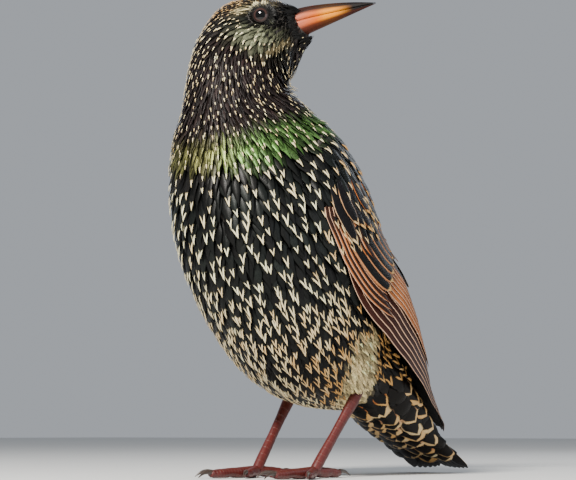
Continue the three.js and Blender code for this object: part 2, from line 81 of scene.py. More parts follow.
def unit(v):
    v = np.asarray(v, float)
    return v / np.maximum(np.linalg.norm(v, axis=-1, keepdims=True), 1e-9)


def smooth(a, b, x):
    t = np.clip((np.asarray(x, float) - a) / (b - a), 0, 1)
    return t * t * (3 - 2 * t)


def mix(a, b, t):
    return a + (b - a) * t


def dots(a, b):
    return np.sum(a * b, axis=-1)


def catmull(points, n):
    """Evenly spaced points on a smooth curve through the given ones."""
    p = np.array(points, float)
    p = np.vstack([2 * p[0] - p[1], p, 2 * p[-1] - p[-2]])
    out = []
    for i in range(1, len(p) - 2):
        p0, p1, p2, p3 = p[i - 1 : i + 3]
        t0 = 0.0
        t1 = t0 + np.linalg.norm(p1 - p0) ** 0.5
        t2 = t1 + np.linalg.norm(p2 - p1) ** 0.5
        t3 = t2 + np.linalg.norm(p3 - p2) ** 0.5
        t = np.linspace(t1, t2, 40)[:, None]
        a1 = (t1 - t) / (t1 - t0) * p0 + (t - t0) / (t1 - t0) * p1
        a2 = (t2 - t) / (t2 - t1) * p1 + (t - t1) / (t2 - t1) * p2
        a3 = (t3 - t) / (t3 - t2) * p2 + (t - t2) / (t3 - t2) * p3
        b1 = (t2 - t) / (t2 - t0) * a1 + (t - t0) / (t2 - t0) * a2
        b2 = (t3 - t) / (t3 - t1) * a2 + (t - t1) / (t3 - t1) * a3
        out.append((t2 - t) / (t2 - t1) * b1 + (t - t1) / (t2 - t1) * b2)
    q = np.vstack(out)
    d = np.concatenate([[0], np.cumsum(np.linalg.norm(np.diff(q, axis=0), axis=1))])
    keep = np.concatenate([[True], np.diff(d) > 1e-9])
    q, d = q[keep], d[keep]
    s = np.linspace(0, d[-1], n)
    return np.stack([np.interp(s, d, q[:, k]) for k in range(q.shape[1])], 1), d[-1]


# The body's axis, from the root of the tail up to the middle of the head, and on down the tail.
AXIS = [(36.5, 31.0), (22.0, 42.0), (7.0, 59.0), (-5.5, 79.0), (-14.5, 97.0), (-21.5, 110.5), (-25.5, 122.5), (-22.5, 134.0)]
TAIL_TIP = np.array([0.0, 90.6, 0.45])
TAIL_ROOT = np.array([0.0, 36.5, 31.0])
TAIL_DIR = unit(TAIL_TIP - TAIL_ROOT)
TAIL_LONG = float(np.linalg.norm(TAIL_TIP - TAIL_ROOT))
ax, AXIS_LONG = catmull([(0, y, z) for y, z in AXIS], 140)
ax_s = np.linspace(0, AXIS_LONG, 140)
tail_n = 70
tail_s = -np.linspace(TAIL_LONG, 0.8, tail_n)
ax = np.vstack([TAIL_ROOT + np.outer(-tail_s, TAIL_DIR), ax])
ax_s = np.concatenate([tail_s, ax_s])
ax_t = unit(np.gradient(ax, axis=0))
for _ in range(30):
    ax_t[1:-1] = unit(ax_t[:-2] + ax_t[1:-1] * 2 + ax_t[2:])
ax_b = unit(np.cross(X, ax_t))
ax_b[ax_b[:, 1] < 0] *= -1

WING_LINE = [(-20.5, 110.5), (-14.5, 97.0), (-5.5, 79.0), (7.0, 60.0), (24.0, 46.0), (52.0, 28.0), (88.0, 5.5)]
WING = np.array([
    # u, top, low, thick, half, up
    (5.0, 60, 78, 0.9, 5, 5),
    (10.0, 40, 98, 1.7, 5, 5),
    (18.0, 26, 110, 2.1, 5, 5),
    (30.0, 14, 113, 2.3, 24, 22),
    (44.0, 8, 110, 2.4, 28, 25.5),
    (58.0, 5, 104, 2.4, 29.5, 27.0),
    (72.0, 4, 96, 2.4, 29.5, 25.8),
    (88.0, 4, 89, 2.3, 26.5, 21.8),
    (104.0, 6, 83, 2.1, 21.5, 16.6),
    (120.0, 10, 78, 1.8, 15.5, 11),
    (134.0, 18, 74, 1.4, 12, 7.6),
    (146.0, 40, 62, 0.9, 10.2, 5.2),
])
wl, WING_LONG = catmull([(0, y, z) for y, z in WING_LINE], 300)
wl_u = np.linspace(0, WING_LONG, 300)
wl_t = unit(np.gradient(wl, axis=0))
wl_b = unit(np.cross(X, wl_t))
wl_b[wl_b[:, 1] < 0] *= -1

# The head's frame.
HEAD_MID = np.array([-0.4, -20.4, 138.2])
turn, lift = math.radians(120), math.radians(13)
HF = np.array([math.sin(turn) * math.cos(lift), -math.cos(turn) * math.cos(lift), math.sin(lift)])
HL = unit(np.cross(Z, HF))
HU = unit(np.cross(HF, HL))


def head_at(f, l, u):
    return HEAD_MID + np.multiply.outer(f, HF) + np.multiply.outer(l, HL) + np.multiply.outer(u, HU)


def body_coords(p):
    """Distance along the axis, angle from the middle of the back, side, and the axis direction, at points."""
    p = np.atleast_2d(p)
    best = np.full(len(p), 1e9)
    idx = np.zeros(len(p), int)
    for i in range(0, len(ax), 1):
        d = np.linalg.norm(p - ax[i], axis=1)
        m = d < best
        best[m] = d[m]
        idx[m] = i
    q = p - ax[idx]
    along = dots(q, ax_t[idx])
    th = np.degrees(np.arctan2(np.abs(q[:, 0]), dots(q, ax_b[idx])))
    return ax_s[idx] + along, th, np.sign(p[:, 0]), ax_t[idx], best


def head_coords(p):
    q = np.atleast_2d(p) - HEAD_MID
    return q @ HF, q @ HL, q @ HU


# ------------------------------------------------------------------ meshes
def fill(name, v, quads, tris, uvs=None, colors=None, smooth_shade=True):
    me = bpy.data.meshes.new(name)
    v = np.ascontiguousarray(to_m(v), np.float32)
    quads = np.asarray(quads, np.int32).reshape(-1, 4)
    tris = np.asarray(tris, np.int32).reshape(-1, 3)
    loops = np.concatenate([quads.ravel(), tris.ravel()]).astype(np.int32)
    me.vertices.add(len(v))
    me.vertices.foreach_set("co", v.ravel())
    me.loops.add(len(loops))
    me.loops.foreach_set("vertex_index", loops)
    n = len(quads) + len(tris)
    start = np.concatenate([np.arange(len(quads)) * 4, len(quads) * 4 + np.arange(len(tris)) * 3]).astype(np.int32)
    me.polygons.add(n)
    me.polygons.foreach_set("loop_start", start)
    me.polygons.foreach_set("loop_total", np.array([4] * len(quads) + [3] * len(tris), np.int32))
    me.update(calc_edges=True)
    if smooth_shade:
        me.polygons.foreach_set("use_smooth", np.ones(n, bool))
    for key, uv in (uvs or {}).items():
        layer = me.uv_layers.new(name=key)
        layer.data.foreach_set("uv", np.ascontiguousarray(uv[loops], np.float32).ravel())
    for key, c in (colors or {}).items():
        a = me.attributes.new(key, "FLOAT_COLOR", "POINT")
        a.data.foreach_set("color", np.ascontiguousarray(c, np.float32).ravel())
    return me


def piece(name, me, material, nodes=()):
    o = bpy.data.objects.new(name, me)
    bpy.context.scene.collection.objects.link(o)
    if material is not None:
        me.materials.clear()
        me.materials.append(material)
    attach(o, "root")
    if nodes:
        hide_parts(*nodes)
    return o


def node_mesh(name):
    me = NODES[name].data
    v = np.zeros(len(me.vertices) * 3)
    me.vertices.foreach_get("co", v)
    me.calc_loop_triangles()
    t = np.zeros(len(me.loop_triangles) * 3, np.int32)
    me.loop_triangles.foreach_get("vertices", t)
    v = from_m(v.reshape(-1, 3))
    t = t.reshape(-1, 3)
    # merge the split vertices of the imported mesh
    key = np.round(v / 1e-3).astype(np.int64)
    _, first, inv = np.unique(key, axis=0, return_index=True, return_inverse=True)
    inv = np.asarray(inv).reshape(-1)
    t = inv[t]
    t = t[(t[:, 0] != t[:, 1]) & (t[:, 1] != t[:, 2]) & (t[:, 2] != t[:, 0])]
    return v[first], t


def tri_normals(v, t):
    n = np.cross(v[t[:, 1]] - v[t[:, 0]], v[t[:, 2]] - v[t[:, 0]])
    out = np.zeros_like(v)
    for k in range(3):
        np.add.at(out, t[:, k], n)
    return unit(out)


def joined(names, grow):
    vs, ts, at = [], [], 0
    for n in names:
        v, t = node_mesh(n)
        v = v + tri_normals(v, t) * grow
        vs.append(v)
        ts.append(t + at)
        at += len(v)
    return np.vstack(vs), np.vstack(ts)


def remeshed(names, grow, voxel, rounds, rump=False):
    """One closed smooth surface round these nodes: vertices, quads and normals."""
    v, t = joined(names, grow)
    if rump:
        rv, rt = rump_mesh()
        v, t = np.vstack([v, rv]), np.vstack([t, rt + len(v)])
    me = fill("tmp", v, np.zeros((0, 4)), t)
    o = bpy.data.objects.new("tmp", me)
    bpy.context.scene.collection.objects.link(o)
    m = o.modifiers.new("r", "REMESH")
    m.mode = "VOXEL"
    m.voxel_size = voxel * 0.001
    dg = bpy.context.evaluated_depsgraph_get()
    e = o.evaluated_get(dg).to_mesh()
    v = np.zeros(len(e.vertices) * 3)
    e.vertices.foreach_get("co", v)
    v = from_m(v.reshape(-1, 3))
    f = np.zeros(len(e.loops), np.int32)
    e.loops.foreach_get("vertex_index", f)
    q = f.reshape(-1, 4)
    bpy.data.objects.remove(o)
    bpy.data.meshes.remove(me)
    ed = np.vstack([q[:, [0, 1]], q[:, [1, 2]], q[:, [2, 3]], q[:, [3, 0]]])
    deg = np.zeros(len(v))
    np.add.at(deg, ed[:, 0], 1)
    np.add.at(deg, ed[:, 1], 1)
    for k in range(rounds * 2):
        s = np.zeros_like(v)
        np.add.at(s, ed[:, 0], v[ed[:, 1]])
        np.add.at(s, ed[:, 1], v[ed[:, 0]])
        v = v + (s / deg[:, None] - v) * (0.6 if k % 2 == 0 else -0.58)
    t = np.vstack([q[:, [0, 1, 2]], q[:, [0, 2, 3]]])
    n = tri_normals(v, t)
    c = v.mean(0)
    if dots(n, v - c).mean() < 0:
        n = -n
        q = q[:, ::-1]
    return v, q, n


class Surface:
    """Nearest points and smooth normals on a quad mesh."""

    def __init__(self, v, q, n):
        self.v, self.q, self.n = v, q, n
        self.tree = BVHTree.FromPolygons([Vector(p) for p in v.tolist()], q.tolist())

    def nearest(self, p):
        shape = p.shape
        p = p.reshape(-1, 3)
        out = np.empty_like(p)
        nor = np.empty_like(p)
        find = self.tree.find_nearest
        idx = np.empty(len(p), int)
        for i, x in enumerate(p.tolist()):
            co, _, k, _ = find(x)
            out[i] = co
            idx[i] = k
        f = self.q[idx]
        w = 1.0 / (np.linalg.norm(self.v[f] - out[:, None], axis=2) + 1e-3)
        nor = unit((self.n[f] * w[:, :, None]).sum(1))
        return out.reshape(shape), nor.reshape(shape)


# ------------------------------------------------------------------ skin and the surface of the coat
FLESH = ["head", "neck", "trunk", "thigh_left", "thigh_right"]
WINGS = ["wing_left", "wing_right"]
def rump_mesh():
    """The rump and the bases of the folded wings, between the wings and the tail."""
    c, _ = catmull([(0, 22, 46), (0, 36, 38), (0, 50, 28), (0, 63, 18.5), (0, 76, 8.2)], 30)
    t = np.linspace(0, 1, 30)
    w = np.interp(t, [0, 0.3, 0.6, 0.85, 1], [18.5, 17.0, 13.6, 11.6, 10.0])
    h = np.interp(t, [0, 0.3, 0.6, 0.85, 1], [12, 10, 7.8, 4.6, 1.2])
    d = unit(np.gradient(c, axis=0))
    b = unit(np.cross(X, d))
    q = np.linspace(0, 2 * math.pi, 28, endpoint=False)
    v = c[:, None] + X * (w[:, None] * np.cos(q))[..., None] + b[:, None] * (h[:, None] * np.sin(q))[..., None]
    v = np.vstack([v.reshape(-1, 3), c[0], c[-1]])
    f = []
    for i in range(29):
        for j in range(28):
            a, b_, c_, d_ = i * 28 + j, i * 28 + (j + 1) % 28, (i + 1) * 28 + (j + 1) % 28, (i + 1) * 28 + j
            f += [(a, c_, b_), (a, d_, c_)]
    for j in range(28):
        f += [(840, j, (j + 1) % 28), (841, 29 * 28 + (j + 1) % 28, 29 * 28 + j)]
    f = np.array(f, np.int32)
    n = tri_normals(v, f)
    return v, (f if dots(n, v - v.mean(0)).mean() > 0 else f[:, ::-1])


cv, cq, cn = remeshed(FLESH + WINGS + ["tail"], 0.36, 1.0, 7, True)
cover = Surface(cv - cn * 0.36, cq, cn)
sv, sq, sn = remeshed(FLESH, 0.36, 1.0, 7, True)


def coat_depth(p):
    """How far the skin lies below the surface of the coat."""
    s, th, side, t, d = body_coords(p)
    f, l, u = head_coords(p)
    r = np.linalg.norm(p - HEAD_MID, axis=1)
    head = 1 - smooth(11.5, 20, r)
    base = mix(2.4, 1.3, smooth(92, 112, s))
    face = mix(1.0, 0.45, smooth(6, 14, f))
    deep = mix(base, face, head)
    low = smooth(34, 28, p[:, 2]) * (p[:, 1] < 26)
    return mix(deep, 1.2, low)


skin_v = sv - sn * (0.36 + coat_depth(sv))[:, None]

wing_trees = []
for n in WINGS:
    v, t = node_mesh(n)
    wing_trees.append(BVHTree.FromPolygons([Vector(p) for p in v.tolist()], t.tolist()))
v, t = joined(["trunk", "neck"], 0.0)
flesh_tree = BVHTree.FromPolygons([Vector(p) for p in v.tolist()], t.tolist())


def distance_to(tree, p):
    return np.array([tree.find_nearest(x)[3] for x in p.tolist()])


# ------------------------------------------------------------------ the lie of the feathers
def flow(p):
    """Direction in which a feather points, from its root to its tip, before it's laid on the surface."""
    s, th, side, t, d = body_coords(p)
    f, l, u = head_coords(p)
    r = np.linalg.norm(p - HEAD_MID - HF * 2, axis=1)
    head = 1 - smooth(9.5, 24, r)
    low = smooth(2, -12, u)
    back = -HF[None] + Z[None] * (-0.22 - 0.75 * low)[:, None]
    down = -t
    # feathers of the flank and the belly sweep a little towards the tail's middle
    down = down + np.stack([-np.sign(p[:, 0]) * 0.10 * smooth(60, 20, s), 0 * s, 0 * s], 1)
    d = unit(back * head[:, None] + unit(down) * (1 - head)[:, None])
    # the small feathers part round the eyes
    for c, sg in zip(EYES, EYE_SIDE):
        q = p - c
        axis = HL * sg
        out = q - np.outer(q @ axis, axis)
        r = np.linalg.norm(out, axis=1)
        out = unit(out)
        w = smooth(5.4, 3.2, r) * (q @ axis > 0)
        k = np.minimum(dots(d, out), 0) * w
        d = d - out * (1.25 * k)[:, None]
    return unit(d)


# ------------------------------------------------------------------ one feather: a thin closed vane
# Rings across the vane: seven points on its upper face and five on its lower one.
TOP = np.array([-1, -0.72, -0.36, 0, 0.36, 0.72, 1.0])
RING_X = np.concatenate([TOP, TOP[1:-1][::-1]])
RING_B = np.array([0] * 7 + [1] * 5)
T_KEYS = np.array([0, 0.12, 0.3, 0.5, 0.68, 0.82, 0.93, 1.0])
LANCE = np.array([0.22, 0.62, 0.96, 0.82, 0.46, 0.26, 0.12, 0.012])
ROUND = np.array([0.28, 0.70, 0.95, 1.0, 0.99, 0.86, 0.52, 0.03])


def forward(p):
    return np.broadcast_to(HF, p.shape)


def vanes(surface, root, length, width, deep, rise, form, rows, thick=0.12, camber=0.10, jitter=0.10, bend=None, spikes=0, way=flow):
    """Feathers laid on a surface from their roots. Returns points, quads, triangles, vane coordinates and the feather of each point."""
    n = len(root)
    tt = np.linspace(0, 1, rows)
    c = np.empty((n, rows, 3))
    nn = np.empty((n, rows, 3))
    dd = np.empty((n, rows, 3))
    p, nor = surface.nearest(root)
    for k in range(rows):
        d = way(p)
        if bend is not None:
            side = np.cross(nor, d)
            d = d + side * bend[:, None]
        d = unit(d - nor * dots(d, nor)[:, None])
        c[:, k], nn[:, k], dd[:, k] = p, nor, d
        if k + 1 < rows:
            p, nor = surface.nearest(p + d * (length * (tt[k + 1] - tt[k]))[:, None])
    side = unit(np.cross(nn, dd))
    prof = mix(np.interp(tt, T_KEYS, LANCE)[None], np.interp(tt, T_KEYS, ROUND)[None], form[:, None])
    wob = 1 + jitter * rng.standard_normal((n, rows, 2)) * smooth(0.25, 0.6, tt)[None, :, None]
    half = (width[:, None] / 2 * prof)[:, :, None] * wob  # left and right half widths
    xs = RING_X
    off = np.where(xs[None, None] < 0, half[:, :, :1] * xs, half[:, :, 1:] * xs)
    pts = c[:, :, None, :] + side[:, :, None, :] * off[..., None]
    # follow the surface across the vane as well
    m = len(xs)
    top, tn = surface.nearest(pts[:, :, :7].reshape(-1, 3))
    top = top.reshape(n, rows, 7, 3)
    tn = tn.reshape(n, rows, 7, 3)
    pts = np.concatenate([top, top[:, :, 1:-1][:, :, ::-1]], 2)
    nrm = np.concatenate([tn, tn[:, :, 1:-1][:, :, ::-1]], 2)
    h = -deep[:, None] + (deep + rise)[:, None] * smooth(0, 1, tt * 0.5 + 0.5 * tt**1.2)[None] ** 0.8
    arch = camber * width[:, None, None] * (1 - xs[None, None] ** 2) * np.clip(prof, 0, 1)[:, :, None]
    ridge = 0.05 * (np.abs(xs) < 0.01)[None, None] * (1 - tt)[None, :, None]
    th = thick * (0.35 + 0.65 * (1 - np.abs(xs)))[None, None] * RING_B[None, None] * np.ones((1, rows, 1))
    hh = h[:, :, None] + arch + ridge - th
    pts = pts + nrm * hh[..., None]
    root_pt = pts[:, 0].mean(1) - dd[:, 0] * 0.15
    tip_pt = pts[:, -1].mean(1) + dd[:, -1] * (0.02 * length)[:, None]
    verts = np.concatenate([pts.reshape(n, rows * m, 3), root_pt[:, None], tip_pt[:, None]], 1)
    uv = np.empty((rows * m + 2, 2))
    uv[: rows * m, 0] = np.tile(xs, rows)
    uv[: rows * m, 1] = np.repeat(tt, m)
    uv[-2] = (0, 0)
    uv[-1] = (0, 1)
    i, j = np.meshgrid(np.arange(rows - 1), np.arange(m), indexing="ij")
    j2 = (j + 1) % m
    quads = np.stack([i * m + j, i * m + j2, (i + 1) * m + j2, (i + 1) * m + j], -1).reshape(-1, 4)
    ja = np.arange(m)
    tris = np.vstack([np.stack([np.full(m, rows * m), (ja + 1) % m, ja], 1), np.stack([np.full(m, rows * m + 1), (rows - 1) * m + ja, (rows - 1) * m + (ja + 1) % m], 1)])
    per = rows * m + 2
    base = (np.arange(n) * per)[:, None, None]
    v = verts.reshape(-1, 3)
    q = (quads[None] + base).reshape(-1, 4)
    t = (tris[None] + base).reshape(-1, 3)
    vane = np.tile(uv, (n, 1))
    who = np.repeat(np.arange(n), per)
    if spikes:
        # loose barbs along both edges of the outer half
        k = spikes
        ts = rng.uniform(0.42, 0.985, (n, k))
        sg = np.where(np.arange(k) % 2 == 0, 0, 6)
        x = ts * (rows - 1)
        a = np.clip(np.floor(x).astype(int), 0, rows - 2)
        fr = (x - a)[..., None]
        ii = np.arange(n)[:, None]
        edge = pts[ii, a, sg[None]] * (1 - fr) + pts[ii, a + 1, sg[None]] * fr
        mid = pts[ii, a, 3] * (1 - fr) + pts[ii, a + 1, 3] * fr
        dv = dd[ii, a]
        sv_ = side[ii, a] * np.where(sg == 0, -1, 1)[None, :, None]
        nv = nn[ii, a]
        w = 0.5 + 0.5 * rng.random((n, k, 1))
        ln = (length[:, None, None] * 0.05 * w + 0.14)
        ang = 0.24 + 0.16 * rng.standard_normal((n, k, 1))
        di = dv * np.cos(ang) + sv_ * np.sin(ang)
        b0 = edge * 0.8 + mid * 0.2 - nv * 0.02
        wd = 0.05 + 0.012 * width[:, None, None]
        v0 = b0 - dv * wd
        v1 = b0 + dv * wd
        v2 = b0 - nv * 0.07
        v3 = edge + di * ln + nv * 0.05 * rng.standard_normal((n, k, 1))
        sp = np.stack([v0, v1, v2, v3], 2).reshape(-1, 3)
        nb = len(v)
        o = nb + np.arange(n * k)[:, None] * 4
        left = np.tile((sg == 0), n)[:, None]
        f = np.array([[0, 1, 3], [1, 2, 3], [2, 0, 3], [0, 2, 1]])
        g = f[:, ::-1]
        st = np.where(left[:, :, None], (o[:, None] + g[None]).reshape(-1, 4, 3), (o[:, None] + f[None]).reshape(-1, 4, 3)).reshape(-1, 3)
        v = np.vstack([v, sp])
        t = np.vstack([t, st])
        sx = np.where(sg == 0, -0.97, 0.97)[None] * np.ones((n, 1))
        su = np.stack([np.stack([sx, ts], -1)] * 3 + [np.stack([sx, np.minimum(ts + 0.07, 1)], -1)], 2).reshape(-1, 2)
        vane = np.vstack([vane, su])
        who = np.concatenate([who, np.repeat(np.arange(n), 4 * k)])
    return v, q, t, vane, who


def bake_uv(roots, vane, who, size=0.003):
    """Each feather is a patch at its root's place on an unwrap of the skin by its own axis."""
    s, th, side, t, d = body_coords(roots)
    a = np.where(side < 0, -th, th) / 360 + 0.5
    b = (s + TAIL_LONG) / (AXIS_LONG + TAIL_LONG + 16)
    f, l, u = head_coords(roots)
    head = np.linalg.norm(roots - HEAD_MID, axis=1) < 17
    ha = np.degrees(np.arctan2(l, f)) / 360 + 0.5
    hb = np.clip((np.degrees(np.arcsin(np.clip(u / np.maximum(np.linalg.norm(roots - HEAD_MID, axis=1), 1e-6), -1, 1))) + 90) / 180, 0, 1)
    uu = np.where(head, 0.02 + 0.46 * ha, 0.02 + 0.95 * a)
    vv = np.where(head, 0.72 + 0.26 * hb, 0.02 + 0.68 * b)
    return np.stack([uu[who] + vane[:, 0] * size / 2, vv[who] + (vane[:, 1] - 0.5) * size], 1)


def scatter(surf_v, surf_q, spacing, count, keep):
    """Roots spread over a surface, no two nearer than the spacing there."""
    t = np.vstack([surf_q[:, [0, 1, 2]], surf_q[:, [0, 2, 3]]])
    a, b, c = surf_v[t[:, 0]], surf_v[t[:, 1]], surf_v[t[:, 2]]
    area = np.linalg.norm(np.cross(b - a, c - a), axis=1) / 2
    mid = (a + b + c) / 3
    r = spacing(mid)
    w = area / r**2 * keep(mid)
    pick = rng.choice(len(t), count, p=w / w.sum())
    u, v = rng.random(count), rng.random(count)
    fl = u + v > 1
    u[fl], v[fl] = 1 - u[fl], 1 - v[fl]
    p = a[pick] + (b[pick] - a[pick]) * u[:, None] + (c[pick] - a[pick]) * v[:, None]
    r = r[pick]
    kd = kdtree.KDTree(count)
    for i, x in enumerate(p.tolist()):
        kd.insert(x, i)
    kd.balance()
    gone = np.zeros(count, bool)
    out = []
    for i in range(count):
        if gone[i]:
            continue
        out.append(i)
        for _, k, _ in kd.find_range(p[i], r[i]):
            gone[k] = True
    return p[out]


# ------------------------------------------------------------------ which feathers grow where
def traits(p):
    """Size, shape and markings of the feathers rooted at points."""
    s, th, side, t, d = body_coords(p)
    f, l, u = head_coords(p)
    r = np.linalg.norm(p - HEAD_MID - HF * 1.5, axis=1)
    head = 1 - smooth(12, 19, r)
    face = smooth(5, 13.5, f) * head
    neck = smooth(90, 104, s) * (1 - head)
    back = (1 - smooth(55, 85, th)) * (1 - head)
    breast = smooth(52, 74, s)
    belly = 1 - breast
    vent = smooth(14, -6, s)
    under = smooth(12, 0, s) * smooth(66, 88, th)
    m = p * [1, 1, 1]
    m[:, 0] = np.abs(m[:, 0])
    hip_a, hip_b = np.array([19.5, 7.5, 45.0]), np.array([13.4, 19.0, 26.5])
    k = np.clip(dots(m - hip_a, hip_b - hip_a) / dots(hip_b - hip_a, hip_b - hip_a), 0, 1)
    hip = smooth(9.6, 7.8, np.linalg.norm(m - hip_a - k[:, None] * (hip_b - hip_a), axis=1))
    o = {}
    sp = mix(2.25, 3.2, breast)
    sp = mix(sp, 3.3, back)
    sp = mix(sp, 1.55, neck)
    sp = mix(sp, 1.02, head)
    sp = mix(sp, 0.68, face)
    sp = mix(sp, 4.6, under)
    sp = mix(sp, 1.5, hip)
    o["spacing"] = sp
    ln = mix(11.5, 10.5, breast)
    ln = mix(ln, 11.0, back)
    ln = mix(ln, 6.8, neck)
    ln = mix(ln, 4.0, head)
    ln = mix(ln, 1.7, face)
    ln = mix(ln, 14.0, under)
    ln = mix(ln, 6.0, hip)
    o["length"] = ln
    wd = mix(4.2, 4.6, breast)
    wd = mix(wd, 6.2, back)
    wd = mix(wd, 1.5, neck)
    wd = mix(wd, 1.0, head)
    wd = mix(wd, 0.75, face)
    wd = mix(wd, 8.8, under)
    wd = mix(wd, 2.2, hip)
    o["width"] = wd
    o["form"] = np.clip(0.0 + 0.75 * back * (1 - neck) + under, 0, 1)
    o["deep"] = coat_depth(p)
    tip = mix(0.34, 0.34, breast)
    tip = mix(tip, 0.20, neck)
    tip = mix(tip, 0.27, head)
    tip = mix(tip, 0.0, smooth(7, 12, f) * head)
    tip = mix(tip, 0.22, back * (1 - neck))
    o["tip"] = tip
    full = mix(0.42, 0.28, breast)  # how much of the tip is pale: a V or a whole wedge
    full = mix(full, 0.9, neck)
    full = mix(full, 0.95, head)
    full = mix(full, 0.3, under)
    o["full"] = full
    flank = smooth(60, 20, s) * smooth(0.2, 0.7, p[:, 0] / 24.0)
    buff = (0.14 + 0.24 * belly + 0.70 * flank + 0.5 * back) * (1 - under) + 0.72 * under
    buff = mix(buff, 0.35, neck)
    buff = mix(buff, 0.35 + 0.5 * smooth(2, 9, u), head)
    o["buff"] = np.clip(buff, 0, 1)
    # painted highlight: the green band on the upper breast is iridescent plumage, set and brightened where the sun's
    # sheen falls; it starts higher near the middle
    lo = GREEN_LO + 1.2 + 2.4 * (1 - smooth(2, 20, p[:, 0]))
    o["green"] = smooth(lo - 2, lo + 2, s) * (1 - smooth(GREEN_HI - 2, GREEN_HI + 3, s)) * (1 - head)
    o["under"] = under
    o["hip"] = hip
    o["head"] = head
    o["face"] = face
    o["neck"] = neck
    o["back"] = back
    o["s"], o["th"] = s, th
    o["hf"], o["hl"], o["hu"] = f, l, u
    return o


# the lower and upper ends of the painted sheen band, as distance along the body's axis
GREEN_LO, GREEN_HI = 94.5, 102.0


def tints(o, p):
    """The colour of the dark part of each feather, with a painted highlight in the green breast band, and how metallic
    it is.
    """
    s, f, l, u = o["s"], o["hf"], np.abs(o["hl"]), o["hu"]
    head, n = o["head"], len(p)
    c = np.tile([0.0034, 0.0032, 0.0030], (n, 1))
    lay = lambda c, k, w: mix(c, np.array(k), np.clip(w, 0, 1)[:, None])
    r = rng.random(n)
    c = lay(c, [0.010, 0.014, 0.012], 0.7 * r * smooth(30, 60, s))
    c = lay(c, [0.009, 0.007, 0.006], 0.8 * smooth(40, 20, s))
    c = lay(c, [0.024, 0.014, 0.013], o["neck"] * (0.4 + 0.6 * r))
    gloss = 0.06 + 0.14 * r
    # painted highlight: the green band is brightened to olive-yellow near the middle and to green on the bird's left
    # side, as the sun's sheen shows there; it is also made metallic
    g = o["green"] * (0.35 + 0.65 * rng.random(n))
    east = smooth(2, 20, p[:, 0])
    c = lay(c, [0.30, 0.30, 0.095], g * (1 - east) * 0.85)
    c = lay(c, [0.13, 0.29, 0.07], g * east * (1 - 0.7 * smooth(22, 27, p[:, 0])))
    gloss = mix(gloss, 0.80, g)
    c = lay(c, [0.026, 0.016, 0.010], head * smooth(3, 8, u))
    low = head * smooth(0, -6, u)
    c = lay(c, [0.022, 0.023, 0.014], low)
    ear = np.exp(-(((f - 3.2) / 6.6) ** 2) - ((u + 4.2) / 3.6) ** 2) * head
    c = lay(c, [0.52, 0.55, 0.33], 1.0 * ear * (0.6 + 0.4 * rng.random(n)))
    brow = np.exp(-(((f - 6.6) / 5.2) ** 4) - ((u - 5.7) / 1.1) ** 2) * head
    c = lay(c, [0.62, 0.54, 0.30], 1.2 * brow)
    a, b = np.array([15.5, -5.6]), np.array([4.0, -10.0])
    q = np.stack([f, u], 1)
    k = np.clip(((q - a) @ (b - a)) / ((b - a) @ (b - a)), 0, 1)
    streak = smooth(1.0, 0.5, np.linalg.norm(q - a - k[:, None] * (b - a), axis=1)) * head
    c = lay(c, [0.33, 0.25, 0.12], 0.8 * streak)
    lore = smooth(8.2, 9.6, f) * smooth(-3.0, -1.8, u) * (1 - smooth(4.0, 5.2, u))
    ring = smooth(3.3, 2.8, np.hypot(f - 6.6, u - 2.0)) * head
    lore = np.maximum(lore, ring)
    c = lay(c, [0.0025, 0.0022, 0.002], lore)
    c = lay(c, [0.92, 0.73, 0.37], o["hip"])
    gloss = gloss * (1 - 0.8 * head) * (1 - o["hip"])
    bare = smooth(7.0, 8.6, f) * smooth(-5.2, -4.2, u) * (1 - smooth(5.0, 6.0, u))
    keep = (1 - np.maximum(lore, bare)) * (1 - 0.5 * brow)
    return c, gloss, keep, ear, streak


def wing_u(p):
    """Distance along the wing's line, for points on the wing."""
    d = np.linalg.norm(p[:, None] - wl[None, ::4], axis=2)
    return wl_u[::4][np.argmin(d, 1)]


EYES = [from_m(np.array(sum((Vector(c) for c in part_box(n)), Vector()) / 2)) for n in ("eye_right", "eye_left")]
EYE_SIDE = [-1, 1]
EYE_R = 4.0
EYE_IN = 0.8  # how far the ball sits inside its place on the solids


def bill_section(f):
    """Inside the bill's root, where no feather grows."""
    return f > 15.5


def wing_coords(p):
    dw = np.minimum(distance_to(wing_trees[0], p), distance_to(wing_trees[1], p))
    return dw, distance_to(flesh_tree, p)


def on_coat(mid):
    s, th, side, t, d = body_coords(mid)
    f, l, u = head_coords(mid)
    dw, df = wing_coords(mid)
    wing = (dw < df - 0.2) & (dw < 2.0)
    # the lesser coverts and scapulars are on the wing's shoulder; the rest of it has its own feathers
    ok = ~wing | (wing_u(mid) < 35)
    ok &= ~((s < -30) & (th < 48))
    ok &= s > -TAIL_LONG * 0.62
    ok &= ~((s < -4) & (mid[:, 2] < 2.5))
    eye = np.minimum(np.linalg.norm(mid - (EYES[0] - HL * 3.2), axis=1), np.linalg.norm(mid - (EYES[1] + HL * 3.2), axis=1))
    ok &= eye > 2.3
    bill = (f > 14.8) & (np.hypot(l, u + 1.0) < 4.6)
    ok &= ~bill
    return ok.astype(float)


COLOR = {}


def attrs(who, **k):
    """Two colour attributes from eight numbers per feather."""
    a = np.stack([k["tip"], k["full"], k["buff"], k["rand"]], 1)
    b = np.stack([k["edge"], k["size"], k["inner"], k["gloss"]], 1)
    c = np.concatenate([k["tint"], k["line"][:, None]], 1)
    return {"MarkA": a[who], "MarkB": b[who], "Tint": c[who]}


